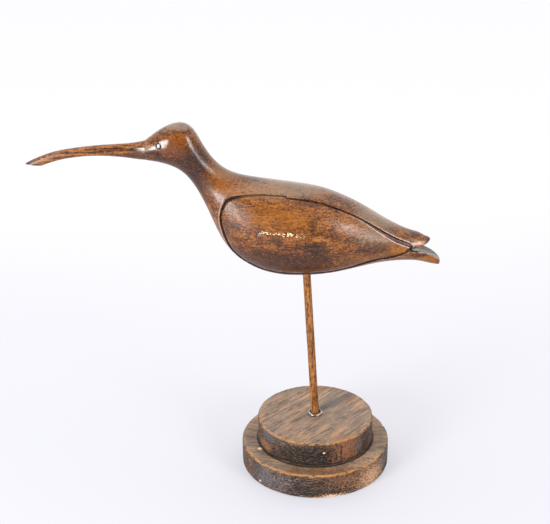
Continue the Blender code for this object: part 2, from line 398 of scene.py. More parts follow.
@dataclass(frozen=True)
class BirdWood:
    """Red-brown varnished wood of the bird, with its grain along X."""

    pale: Colour = (0.250, 0.094, 0.019)
    amber: Colour = (0.142, 0.044, 0.007)
    russet: Colour = (0.074, 0.021, 0.005)
    umber: Colour = (0.022, 0.008, 0.004)
    violet: Colour = (0.010, 0.005, 0.004)
    gold: Colour = (0.280, 0.098, 0.013)
    brick: Colour = (0.135, 0.030, 0.004)
    pore: Colour = (0.006, 0.003, 0.002)
    bare: Colour = (0.720, 0.520, 0.330)
    lip_wear_and_highlight: Colour = (0.620, 0.440, 0.370)
    tan: Colour = (0.205, 0.138, 0.088)
    hollow_shadow: Colour = (0.010, 0.009, 0.006)
    hollow_sky_reflection: Colour = (0.098, 0.086, 0.062)
    crown_sheen: Colour = (0.180, 0.142, 0.115)
    deep: Colour = (0.006, 0.003, 0.002)

    @property
    def stains_and_painted_light(self) -> tuple[Stain, ...]:
        """Stains, worn places, painted sheen, painted highlights and painted shade of the left side, which
        the right side repeats in the mirror.
        """
        return (
            Stain(self.violet, (-116.0, -13.0, 333.0), (8.5, 18.0, 17.0), 0.85, 2.5, 0.5),
            Stain(self.pore, (-115.0, -13.0, 330.0), (9.0, 18.0, 14.0), 0.90, 1.5, 1.4),
            Stain(self.brick, (-93.0, -14.0, 316.0), (13.0, 13.0, 12.0), 0.60, 1.5, 1.5),
            Stain(self.violet, (-101.0, -14.0, 315.0), (7.0, 16.0, 7.0), 0.75, 2.5, 0.5),
            Stain(self.violet, (-123.0, -13.0, 340.0), (8.0, 14.0, 11.0), 0.50, 2.5, 0.5),
            Stain(self.umber, (-137.0, -9.0, 335.0), (30.0, 18.0, 8.5), 0.80, 3.0, 0.3),
            Stain(self.umber, (-112.0, -13.0, 322.0), (12.0, 18.0, 20.0), 0.55, 3.0, 0.4),
            Stain(self.deep, (-153.0, -9.0, 345.4), (14.0, 6.0, 2.4), 0.92, 2.0, 0.3),
            # Painted shade in the gap round the eye bead.
            Stain(self.deep, (-147.6, -9.95, 352.4), (3.6, 3.6, 3.6), 1.0, 3.0, 0.02, 0.15),
            # Painted highlights on the face beside the eye, here and in the next patch.
            Stain(self.tan, (-157.0, -8.5, 350.6), (6.5, 5.0, 2.0), 0.65, 2.0, 0.4),
            Stain(self.tan, (-141.5, -12.0, 356.0), (4.5, 5.0, 3.0), 0.25, 2.0, 0.4),
            # Painted sheen of the sky on the crown.
            Stain(self.crown_sheen, (-128.0, 0.0, 372.0), (25.0, 13.0, 6.0), 0.70, 3.0, 0.3),
            # Painted sheen of the sky along the back and at the base of the neck, here and in the next two
            # patches.
            Stain(self.tan, (-30.0, -11.0, 308.0), (62.0, 13.0, 7.0), 0.60, 3.0, 0.3),
            Stain(self.tan, (62.0, -8.0, 277.0), (46.0, 13.0, 10.0), 0.62, 3.0, 0.3),
            Stain(self.tan, (-84.0, -5.0, 326.0), (16.0, 10.0, 9.0), 0.35, 3.0, 0.4),
            Stain(self.umber, (-147.0, -10.0, 363.8), (13.0, 7.0, 1.3), 0.70, 2.5, 0.4),
            Stain(self.umber, (-125.0, -12.0, 365.5), (13.0, 8.0, 1.3), 0.55, 2.5, 0.4),
            Stain(self.brick, (-133.0, -15.0, 354.0), (13.0, 10.0, 10.0), 0.70, 1.8, 0.8),
            Stain(self.umber, (-130.0, -15.0, 350.0), (14.0, 10.0, 10.0), 0.60, 1.6, 1.8),
            Stain(self.gold, (-131.0, -15.0, 357.0), (9.0, 10.0, 7.0), 0.20, 2.0, 1.2),
            # Painted sheen on the rear of the wing.
            Stain(self.tan, (60.0, -24.0, 263.0), (20.0, 12.0, 9.0), 0.45, 2.0, 0.7),
            Stain(self.pale, (79.0, -19.0, 249.0), (17.0, 10.0, 8.0), 0.30, 2.5, 0.7),
            Stain(self.gold, (-94.0, -14.0, 318.0), (10.0, 13.0, 11.0), 0.25, 2.0, 0.5),
            Stain(self.umber, (-119.0, -11.0, 309.0), (10.0, 14.0, 18.0), 0.50, 3.0, 0.4),
            Stain(self.gold, (-66.0, -18.0, 309.0), (28.0, 12.0, 6.0), 0.20, 3.0, 0.5),
            Stain(self.gold, (-36.0, -36.0, 287.0), (34.0, 14.0, 13.0), 0.38, 4.0, 0.5),
            # Darker low on the flank, here and in the next patch: stain and painted shade together.
            Stain(self.umber, (-30.0, -30.0, 240.0), (50.0, 22.0, 16.0), 0.85, 3.0, 0.5),
            Stain(self.umber, (24.0, -26.0, 234.0), (26.0, 20.0, 9.0), 0.25, 3.5, 0.4),
            Stain(self.pale, (50.0, -24.0, 241.0), (22.0, 12.0, 7.0), 0.30, 3.5, 0.5),
            Stain(self.violet, (-4.0, -34.0, 281.0), (4.5, 10.0, 8.0), 0.55, 2.5, 0.5),
            Stain(self.violet, (-1.0, -37.0, 256.0), (9.0, 10.0, 8.0), 0.80, 2.5, 0.5),
            Stain(self.violet, (-39.0, -36.0, 265.0), (7.0, 10.0, 4.0), 0.70, 2.5, 0.5),
            Stain(self.violet, (55.0, -26.0, 251.0), (14.0, 10.0, 7.0), 0.60, 3.0, 0.6),
            Stain(self.gold, (2.0, -37.0, 265.4), (6.0, 8.0, 1.4), 0.90, 2.0, 0.3),
            Stain(self.gold, (82.0, -18.0, 245.0), (11.0, 8.0, 4.0), 0.55, 2.5, 0.4),
            # Pale underside of the back's tip: wear and painted highlight.
            Stain(self.lip_wear_and_highlight, (97.0, -10.0, 249.6), (13.0, 8.0, 1.5), 0.45, 2.0, 0.5),
            Stain(self.gold, (101.0, -8.0, 246.5), (10.0, 9.0, 1.6), 0.45, 2.0, 0.5),
            # Painted shade on the blunt end of the back's tip.
            Stain(self.umber, (109.5, -4.0, 249.2), (4.0, 7.0, 2.2), 0.80, 2.0, 0.4),
            Stain(self.gold, (111.0, -8.0, 231.0), (14.0, 9.0, 5.0), 0.55, 2.5, 0.4),
            Stain(self.umber, (-11.0, -36.0, 256.0), (0.7, 14.0, 13.0), 0.60, 3.0, 0.4),
        )

    def make(self) -> bpy.types.Material:
        """Return the material."""
        r = Recipe("varnished_bird_wood")
        broad = r.noise((30.0, 16.0, 13.0), 3.0, 0.6, 3.1, warp=0.6)
        streak = r.noise((13.0, 1.5, 1.3), 4.0, 0.72, 7.7)
        mottle = r.noise((2.6, 1.7, 1.7), 3.0, 0.7, 12.0)
        grit = r.noise((1.5, 1.1, 1.1), 2.0, 0.65, 17.0)
        tone = r.total((broad, 0.42), (streak, 0.62), (mottle, 0.55), (grit, 0.50),
                       (self.growth_rings(r), 0.08), (-0.585, 1.0))
        wood = r.ramp(tone, (0.39, self.umber), (0.47, self.russet), (0.535, self.amber), (0.65, self.pale))
        folded = r.folded()
        for index, stain in enumerate(self.stains_and_painted_light):
            wood = stain.lay(r, wood, index * 4.0, folded)
        pores = r.fade(r.noise((3.6, 1.1, 1.0), 2.0, 0.6, 21.0), 0.57, 0.67)
        glint = r.fade(r.noise((2.6, 1.3, 1.3), 2.0, 0.6, 33.0), 0.58, 0.68)
        ember = r.fade(r.noise((5.0, 1.6, 1.4), 3.0, 0.65, 51.0), 0.54, 0.63)
        wood = r.mix(r.math("MULTIPLY", ember, 0.35), wood, self.brick)
        wood = r.mix(r.math("MULTIPLY", pores, 0.80), wood, self.pore)
        wood = r.mix(r.math("MULTIPLY", glint, 0.30), wood, self.gold)
        wood = self.wear_and_lip_highlights(r, wood)
        # Painted shadow and painted sky reflection on the upward faces of the tail's hollow.
        hollow_shadow_and_reflection = r.ramp(r.noise((14.0, 1.3, 1.3), 3.0, 0.7, 73.0), (0.45, self.hollow_shadow), (0.60, self.hollow_sky_reflection))
        wood = r.mix(r.math("MULTIPLY", r.attribute("hollow"), 0.85), wood, hollow_shadow_and_reflection)
        # Painted shadow at the front of the tail's hollow, under the back's tip.
        inner = r.math("MULTIPLY", r.attribute("hollow"), r.fade(r.axis("X"), 107.0, 100.0))
        # Painted shadow deep in the notch.
        notch_shadow = r.spot((94.0, 0.0, 244.6), (8.5, 24.0, 2.6), 0.5, 0.2)
        # Grooves are darkened by dirt and painted shade; together with the notch's painted shadows they go
        # nearly black.
        groove = r.math("MAXIMUM", r.math("MAXIMUM", r.attribute("groove"), notch_shadow), inner)
        wood = r.mix(r.math("MULTIPLY", groove, 0.94), wood, self.deep)
        polished = r.fade(r.axis("X"), -108.0, -128.0)
        scuffed = r.math("MAXIMUM",
                         r.spot((-80.0, -24.0, 284.0), (17.0, 16.0, 20.0), 0.9, 0.3, 4.0, 2.0, folded),
                         r.spot((58.0, -24.0, 262.0), (26.0, 16.0, 14.0), 0.9, 0.3, 4.0, 5.0, folded))
        rough = r.total((mottle, 0.18), (groove, -0.12), (polished, -0.17), (scuffed, 0.18),
                        (r.noise(16.0, 2.0, 0.5, 31.0), 0.12), (0.16, 1.0))
        relief = r.total((streak, 0.05), (mottle, 0.06), (pores, -0.05))
        return r.dress(wood, rough, r.bump(relief), Coat_Weight=0.08, Coat_Roughness=0.12,
                       Specular_IOR_Level=0.35)

    def growth_rings(self, r: Recipe) -> Socket:
        """Return rings round an axis along X, which show as nested ovals on the flanks."""
        wobble = r.noise((60.0, 12.0, 12.0), 2.0, 0.5, 40.0)
        across = r.vector("MULTIPLY", r.vector("SUBTRACT", r.place, (-18.0, 0.0, 250.0)), (0.16, 1.0, 1.0))
        reach = r.math("MULTIPLY_ADD", wobble, 16.0, r.vector("LENGTH", across))
        return r.math("FRACT", r.math("DIVIDE", reach, 3.6))

    def wear_and_lip_highlights(self, r: Recipe, wood: Socket) -> Socket:
        """Paint the groove's lips pale, as wear and painted highlight, and rub pale wood through along a
        scuffed line on the flank.

        Args:
            r: The recipe.
            wood: Colour below.

        Returns:
            The colour with its pale lips and worn line.
        """
        # Pale lips: wear and painted highlight.
        lip_wear_and_highlight = r.math("MULTIPLY", r.attribute("lip_wear_and_highlight"), r.fade(r.noise(3.5, 2.0, 0.6, 5.5), 0.28, 0.5))
        wood = r.mix(r.math("MULTIPLY", lip_wear_and_highlight, 0.85), wood, self.lip_wear_and_highlight)
        flecks = r.fade(r.noise((1.5, 1.4, 1.2), 2.0, 0.6, 61.0), 0.475, 0.55)
        along = r.math("ADD", r.axis("X"), 42.0)
        arch = r.math("MULTIPLY_ADD", r.math("MULTIPLY", along, along), -0.0035, 267.0)
        middle = r.math("MULTIPLY_ADD", r.noise((7.0, 4.0, 4.0), 2.0, 0.6, 63.0), 11.0, arch)
        height = r.math("SUBTRACT", r.axis("Z"), middle)
        line = r.math("MULTIPLY", r.fade(r.math("ABSOLUTE", height), 1.7, 0.6),
                      r.fade(r.axis("Y"), 0.0, -4.0))
        span = r.math("MULTIPLY", r.fade(r.axis("X"), -57.0, -52.0), r.fade(r.axis("X"), -4.0, -30.0))
        scuff = r.math("MULTIPLY", r.math("MULTIPLY", line, span), flecks)
        return r.mix(scuff, wood, self.bare)


@dataclass(frozen=True)
class BillWood:
    """Darker varnished wood of the bill, streaked along its length."""

    pale: Colour = (0.248, 0.096, 0.021)
    mid: Colour = (0.126, 0.040, 0.008)
    dark: Colour = (0.024, 0.009, 0.005)
    soot: Colour = (0.008, 0.005, 0.005)

    def make(self) -> bpy.types.Material:
        """Return the material."""
        r = Recipe("varnished_bill_wood")
        streak = r.noise((22.0, 1.5, 1.3), 3.0, 0.65, 2.0)
        mottle = r.noise((3.0, 1.6, 1.6), 2.0, 0.6, 9.0)
        tone = r.total((streak, 0.7), (mottle, 0.5), (-0.1, 1.0))
        wood = r.ramp(tone, (0.39, self.dark), (0.49, self.mid), (0.62, self.pale))
        stain = Stain(self.soot, (-169.0, -7.0, 346.8), (13.0, 6.0, 1.7), 0.92, 2.0, 0.25)
        wood = stain.lay(r, wood, 5.0, r.folded())
        chin = Stain(self.dark, (-168.0, -6.0, 340.6), (17.0, 8.0, 4.2), 0.75, 2.5, 0.5)
        wood = chin.lay(r, wood, 9.0, r.folded())
        tip = r.fade(r.axis("X"), -262.0, -273.0)
        wood = r.mix(r.math("MULTIPLY", tip, 0.85), wood, self.dark)
        dulled = r.fade(r.axis("X"), -225.0, -250.0)
        rough = r.total((mottle, 0.16), (dulled, 0.22), (0.12, 1.0))
        return r.dress(wood, rough, r.bump(r.total((streak, 0.06), (mottle, 0.05))), Coat_Weight=0.08,
                       Coat_Roughness=0.12, Specular_IOR_Level=0.38)


@dataclass(frozen=True)
class RodWood:
    """Golden dowel with darker streaks along it."""

    gold: Colour = (0.275, 0.108, 0.024)
    brown: Colour = (0.135, 0.046, 0.012)
    dark: Colour = (0.030, 0.012, 0.006)

    def make(self) -> bpy.types.Material:
        """Return the material."""
        r = Recipe("oiled_rod_wood")
        streak = r.noise((1.4, 1.4, 30.0), 3.0, 0.6, 4.0)
        mottle = r.noise((1.6, 1.6, 4.0), 2.0, 0.6, 6.0)
        wood = r.ramp(r.total((streak, 0.6), (mottle, 0.5), (-0.05, 1.0)),
                      (0.38, self.dark), (0.47, self.brown),
                      (0.58, self.gold))
        return r.dress(wood, r.math("MULTIPLY_ADD", mottle, 0.25, 0.25),
                       r.bump(r.total((streak, 0.12), (mottle, 0.05))), Specular_IOR_Level=0.25)


@dataclass(frozen=True)
class WeatheredWood:
    """Old stained wood of a base disc."""

    name: str
    grain: float
    seed: float
    top: float
    radius: float
    stains: tuple[Stain, ...]
    seat: float = 0.0
    grey: Colour = (0.165, 0.118, 0.088)
    tan: Colour = (0.290, 0.180, 0.110)
    orange: Colour = (0.430, 0.195, 0.056)
    brown: Colour = (0.080, 0.041, 0.021)
    umber: Colour = (0.028, 0.015, 0.009)
    black: Colour = (0.008, 0.006, 0.006)
    rose: Colour = (0.370, 0.215, 0.150)
    olive: Colour = (0.150, 0.120, 0.078)
    slate: Colour = (0.085, 0.088, 0.096)
    rust: Colour = (0.190, 0.070, 0.032)

    def make(self) -> bpy.types.Material:
        """Return the material."""
        r = Recipe(self.name)
        along = r.turned(self.grain)
        streak = r.noise((30.0, 2.2, 1.8), 4.0, 0.72, self.seed, along)
        fine = r.noise((10.0, 1.1, 0.9), 3.0, 0.7, self.seed + 3.0, along)
        cloud = r.noise((24.0, 11.0, 11.0), 3.0, 0.6, self.seed + 6.0, along)
        grit = r.noise((2.2, 1.4, 1.4), 2.0, 0.6, self.seed + 8.0, along)
        tone = r.total((streak, 0.65), (fine, 0.55), (cloud, 0.5), (grit, 0.35), (-0.525, 1.0))
        face = r.ramp(tone, (0.34, self.brown), (0.46, self.grey), (0.58, self.tan), (0.73, self.orange))
        face = self.streaked(r, face, along)
        flank = self.blotched(r, r.ramp(tone, (0.42, self.black), (0.51, self.umber), (0.59, self.brown),
                                        (0.68, self.tan)))
        radius = r.vector("LENGTH", r.vector("MULTIPLY", r.place, (1.0, 1.0, 0.0)))
        side = r.fade(radius, self.radius - 1.8, self.radius - 0.8)
        wood = r.mix(side, face, flank)
        for index, stain in enumerate(self.stains):
            wood = stain.lay(r, wood, index * 3.0 + self.seed)
        slant = r.turned(0.0, lean=13.0)
        scored = r.fade(r.noise((15.0, 0.9, 0.8), 2.0, 0.65, self.seed + 67.0, slant), 0.54, 0.60)
        wood = r.mix(r.math("MULTIPLY", scored, r.math("MULTIPLY", side, 0.85)), wood, self.black)
        grazed = r.fade(r.noise((9.0, 0.9, 0.8), 2.0, 0.65, self.seed + 63.0, slant), 0.57, 0.64)
        wood = r.mix(r.math("MULTIPLY", grazed, r.math("MULTIPLY", side, 0.32)), wood, self.tan)
        wood = self.rim(r, wood, radius)
        cracks = r.fade(r.noise((34.0, 1.0, 0.8), 2.0, 0.6, self.seed + 12.0, along), 0.57, 0.64)
        scratches = r.fade(r.noise((12.0, 0.9, 0.8), 2.0, 0.6, self.seed + 15.0, along), 0.60, 0.68)
        wood = r.mix(r.math("MULTIPLY", cracks, r.math("MULTIPLY_ADD", side, 0.50, 0.14)), wood, self.black)
        wood = r.mix(r.math("MULTIPLY", scratches, 0.35), wood, self.tan)
        # Grime and painted shadow where the discs meet.
        wood = r.mix(r.math("MULTIPLY", self.joint_dirt_and_shadow(r, radius), 0.85), wood, self.black)
        rough = r.math("MULTIPLY_ADD", fine, 0.25, 0.50)
        relief = r.total((streak, 0.45), (fine, 0.35), (grit, 0.15), (cracks, -0.20))
        return r.dress(wood, rough, r.bump(relief), Specular_IOR_Level=0.14)

    def streaked(self, r: Recipe, wood: Socket, along: Socket) -> Socket:
        """Lay long soft streaks of other colours along the grain of the top.

        Args:
            r: The recipe.
            wood: Colour below.
            along: Place turned to the grain.

        Returns:
            The streaked colour.
        """
        for shift, colour, strength in ((27.0, self.rose, 0.45), (31.0, self.olive, 0.60),
                                        (35.0, self.slate, 0.35)):
            band = r.noise((48.0, 4.6, 4.6), 3.0, 0.62, self.seed + shift, along)
            wood = r.mix(r.math("MULTIPLY", r.fade(band, 0.49, 0.63), strength), wood, colour)
        return wood

    def blotched(self, r: Recipe, wood: Socket) -> Socket:
        """Mottle the turned side with rust, slate and pale specks.

        Args:
            r: The recipe.
            wood: Colour below.

        Returns:
            The mottled colour.
        """
        for shift, colour, strength in ((41.0, self.rust, 0.55), (45.0, self.slate, 0.55),
                                        (49.0, self.olive, 0.45)):
            patch = r.noise((15.0, 9.0, 8.0), 4.0, 0.75, self.seed + shift)
            wood = r.mix(r.math("MULTIPLY", r.fade(patch, 0.53, 0.60), strength), wood, colour)
        specks = r.fade(r.noise((1.5, 1.3, 1.1), 2.0, 0.6, self.seed + 53.0), 0.58, 0.66)
        wood = r.mix(r.math("MULTIPLY", specks, 0.45), wood, self.tan)
        grime = r.fade(r.noise((1.7, 1.4, 1.3), 2.0, 0.6, self.seed + 57.0), 0.54, 0.62)
        return r.mix(r.math("MULTIPLY", grime, 0.75), wood, self.black)

    def joint_dirt_and_shadow(self, r: Recipe, radius: Socket) -> Socket:
        """Return the grime and painted shadow where the discs meet.

        Args:
            r: The recipe.
            radius: Distance from the middle.

        Returns:
            1 where it is thickest.
        """
        if self.seat:
            return r.fade(r.math("ABSOLUTE", r.math("SUBTRACT", radius, self.seat)), 2.4, 0.4)
        return r.fade(r.axis("Z"), self.top - 24.0, self.top - 25.6)

    def rim(self, r: Recipe, wood: Socket, radius: Socket) -> Socket:
        """Wear the finish off the top edge.

        Args:
            r: The recipe.
            wood: Colour below.
            radius: Distance from the middle.

        Returns:
            The colour with its worn rim.
        """
        drop = r.math("SUBTRACT", self.top, r.axis("Z"))
        inset = r.math("SUBTRACT", self.radius, radius)
        away = r.math("ADD", r.math("ABSOLUTE", drop), r.math("ABSOLUTE", inset))
        front = r.fade(r.axis("Y"), self.radius * 0.3, -self.radius * 0.7)
        ragged = r.noise((5.0, 5.0, 2.5), 3.0, 0.75, self.seed + 9.0)
        patchy = r.fade(r.math("MULTIPLY_ADD", front, 0.16, ragged), 0.55, 0.64)
        worn = r.math("MULTIPLY", r.fade(away, 3.3, 1.3), patchy)
        return r.mix(r.math("MULTIPLY", worn, 0.80), wood, self.orange)


@dataclass(frozen=True)
class BeadGlass:
    """Polished black bead with a faint cast in its depth."""

    def make(self) -> bpy.types.Material:
        """Return the material."""
        r = Recipe("black_bead")
        cloud = r.noise(2.0, 2.0, 0.5)
        colour = r.ramp(cloud, (0.3, (0.003, 0.003, 0.003)), (0.7, (0.008, 0.007, 0.007)))
        return r.dress(colour, r.math("MULTIPLY_ADD", cloud, 0.04, 0.03), None, Specular_IOR_Level=0.38)


@dataclass(frozen=True)
class CollarMetal:
    """Dull pale metal, darkened in its hollows."""

    def make(self) -> bpy.types.Material:
        """Return the material."""
        r = Recipe("collar_metal")
        cloud = r.noise(2.4, 3.0, 0.6)
        colour = r.ramp(cloud, (0.40, (0.10, 0.085, 0.065)), (0.62, (0.46, 0.42, 0.35)))
        radius = r.vector("LENGTH", r.vector("MULTIPLY", r.place, (1.0, 1.0, 0.0)))
        colour = r.mix(r.fade(radius, 6.5, 5.7), colour, (0.03, 0.022, 0.018))
        return r.dress(colour, r.math("MULTIPLY_ADD", cloud, 0.3, 0.2),
                       r.bump(r.math("MULTIPLY", r.noise(0.8, 2.0, 0.5, 3.0), 0.08)), Metallic=1.0)


# Shapes


class Spline:
    """Natural cubic through rows of values at whole numbers 0, 1, 2 and on."""

    def __init__(self, rows: Sequence[Sequence[float]]) -> None:
        """Solve the bends.

        Args:
            rows: The rows, evenly spaced.
        """
        self.rows = np.array(rows, dtype=float)
        count = len(rows)
        system = np.eye(count)
        bend = np.zeros_like(self.rows)
        for i in range(1, count - 1):
            system[i, i - 1:i + 2] = (1.0, 4.0, 1.0)
            bend[i] = 6.0 * (self.rows[i - 1] - 2.0 * self.rows[i] + self.rows[i + 1])
        self.bend = np.linalg.solve(system, bend)

    def at(self, place: np.ndarray) -> np.ndarray:
        """Return the rows of values at many places.

        Args:
            place: Places between the first whole number and the last.

        Returns:
            One row for each place.
        """
        low = np.clip(place.astype(int), 0, len(self.rows) - 2)
        after = (place - low)[:, None]
        before = 1.0 - after
        line = before * self.rows[low] + after * self.rows[low + 1]
        bow = (before ** 3 - before) * self.bend[low] + (after ** 3 - after) * self.bend[low + 1]
        return line + bow / 6.0


@dataclass(frozen=True)
class Loft:
    """Smooth form through leaning elliptical ribs, of which the last may be rounded over."""

    ribs: Sequence[Sequence[float]]
    end_round: float = 0.0
    end_taper: float = 0.0

    @property
    def last(self) -> int:
        """Number of the last rib."""
        return len(self.ribs) - 1

    def skin(self, place: np.ndarray, up: np.ndarray, out: np.ndarray) -> np.ndarray:
        """Return points on the skin.

        Args:
            place: Rib numbers; past the last one, the quarter round of the end.
            up: Sine of the angle up the rib.
            out: Cosine of that angle, signed along Y.

        Returns:
            Points in millimetres.
        """
        inside = np.minimum(place, self.last)
        back_x, back_z, belly_x, belly_z, half_width = Spline(self.ribs).at(inside).T
        rise = np.stack([back_x - belly_x, 0.0 * back_x, back_z - belly_z], 1) / 2.0
        centre = np.stack([back_x + belly_x, 0.0 * back_x, back_z + belly_z], 1) / 2.0
        height = np.linalg.norm(rise, axis=1)
        over = (place - inside) * math.pi / 2.0
        inset = self.end_round * (1.0 - np.cos(over))
        ahead = np.stack([rise[:, 2], 0.0 * height, -rise[:, 0]], 1) / height[:, None]
        centre += ahead * (self.end_round * np.sin(over))[:, None]
        rise *= (1.0 - (inset + self.end_taper * np.sin(over)) / height)[:, None]
        across = np.stack([0.0 * height, (half_width - inset) * out, 0.0 * height], 1)
        return centre + rise * up[:, None] + across


def new_piece(name: str, bm: bmesh.types.BMesh, material: bpy.types.Material | None = None,
              sharp: float = 42.0) -> bpy.types.Object:
    """Turn a bmesh into a smooth shaded object.

    Args:
        name: Name of the object.
        bm: The bmesh, which is freed.
        material: Its finish; a cutter has none.
        sharp: Angle in degrees past which an edge is shaded sharp.

    Returns:
        The object.
    """
    mesh = bpy.data.meshes.new(name)
    bm.to_mesh(mesh)
    bm.free()
    mesh.shade_smooth()
    mesh.set_sharp_from_angle(angle=math.radians(sharp))
    thing = bpy.data.objects.new(name, mesh)
    bpy.context.scene.collection.objects.link(thing)
    if material is not None:
        mesh.materials.append(material)
    return thing


def install(piece: bpy.types.Object, slot: Slot, *nodes: str) -> bpy.types.Object:
    """Let a piece ride on the frame in place of its solids.

    Args:
        piece: The finished piece.
        slot: Its material slot; not used.
        nodes: The solids that it stands for.

    Returns:
        The same piece.
    """
    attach(piece, "root")
    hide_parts(*nodes)
    triangles = sum(len(face.vertices) - 2 for face in piece.data.polygons)
    LOG.info("%s stands for %s with %d triangles", piece.name, ", ".join(nodes), triangles)
    return piece


def ring(bm: bmesh.types.BMesh, centre: Vector, across: Vector, rise: Vector,
         sides: int) -> list[bmesh.types.BMEdge]:
    """Add an elliptical ring of edges.

    Args:
        bm: The bmesh that it goes in.
        centre: Its middle.
        across: One half axis.
        rise: The other half axis.
        sides: Number of edges.

    Returns:
        The edges.
    """
    place = Matrix.Identity(4)
    place.col[0][:3] = rise * MM
    place.col[1][:3] = across * MM
    place.col[3][:3] = centre * MM
    made = bmesh.ops.create_circle(bm, cap_ends=False, radius=1.0, segments=sides, matrix=place)
    return list(dict.fromkeys(edge for vert in made["verts"] for edge in vert.link_edges))


def bridge_all(bm: bmesh.types.BMesh, rings: Sequence[list[bmesh.types.BMEdge]],
               closed: bool = False) -> None:
    """Bridge rings in order; an open run gets flat ends.

    Args:
        bm: The bmesh.
        rings: Edges of each ring.
        closed: Whether the last ring meets the first.
    """
    for first, second in zip(rings, rings[1:]):
        bmesh.ops.bridge_loops(bm, edges=first + second)
    if closed:
        bmesh.ops.bridge_loops(bm, edges=rings[-1] + rings[0])
    else:
        bmesh.ops.edgeloop_fill(bm, edges=rings[0])
        bmesh.ops.edgeloop_fill(bm, edges=rings[-1])
    bmesh.ops.recalc_face_normals(bm, faces=bm.faces)


def points_of(bm: bmesh.types.BMesh) -> np.ndarray:
    """Return the corners of a bmesh in millimetres."""
    return np.array([vert.co[:] for vert in bm.verts]) / MM


def move_to(bm: bmesh.types.BMesh, points: np.ndarray) -> None:
    """Put the corners of a bmesh at new places.

    Args:
        bm: The bmesh.
        points: One place for each corner, in millimetres.
    """
    for vert, point in zip(bm.verts, points * MM):
        vert.co = point


def smooth_step(value: np.ndarray, start: float, end: float) -> np.ndarray:
    """Return a smooth step from 0 at start to 1 at end."""
    share = np.clip((value - start) / (end - start), 0.0, 1.0)
    return share * share * (3.0 - 2.0 * share)


def field_noise(points: np.ndarray, size: float | Colour, seed: float) -> np.ndarray:
    """Return smooth noise from -1 to 1 at many points.

    Args:
        points: Points in millimetres.
        size: Size of its features, one number or one for each axis.
        seed: Offset of the pattern.

    Returns:
        One value for each point.
    """
    scaled = points / np.array(size) + seed
    return np.array([noise.noise(point) for point in scaled])


def applied(piece: bpy.types.Object) -> bmesh.types.BMesh:
    """Return the piece's mesh with its modifiers applied, and remove the piece."""
    graph = bpy.context.evaluated_depsgraph_get()
    bm = bmesh.new()
    bm.from_object(piece, graph)
    for modifier in list(piece.modifiers):
        cutter = modifier.object
        bpy.data.objects.remove(cutter, do_unlink=True)
    bpy.data.objects.remove(piece, do_unlink=True)
    put_in_order(bm)
    return bm


def put_in_order(bm: bmesh.types.BMesh) -> None:
    """Number corners, edges and faces by their place, so that later steps work alike in every run."""
    corners = [vert.co[:] for vert in bm.verts]
    middles = [((edge.verts[0].co + edge.verts[1].co) / 2.0)[:] for edge in bm.edges]
    centres = [face.calc_center_median()[:] for face in bm.faces]
    for parts, places in ((bm.verts, corners), (bm.edges, middles), (bm.faces, centres)):
        ranks = np.argsort(np.lexsort(np.array(places).T))
        for part, rank in zip(parts, ranks):
            part.index = int(rank)
        parts.sort()


def cut(target: bpy.types.Object, cutter: bpy.types.Object) -> None:
    """Take the cutter out of the target with an exact Boolean."""
    boolean = target.modifiers.new(cutter.name, "BOOLEAN")
    boolean.operation = "DIFFERENCE"
    boolean.solver = "EXACT"
    boolean.object = cutter


def remember(piece: bpy.types.Object, name: str, values: np.ndarray) -> None:
    """Store one number for each corner of a piece's mesh."""
    layer = piece.data.attributes.new(name, "FLOAT", "POINT")
    layer.data.foreach_set("value", values.astype(np.float32))


# Sub-assemblies


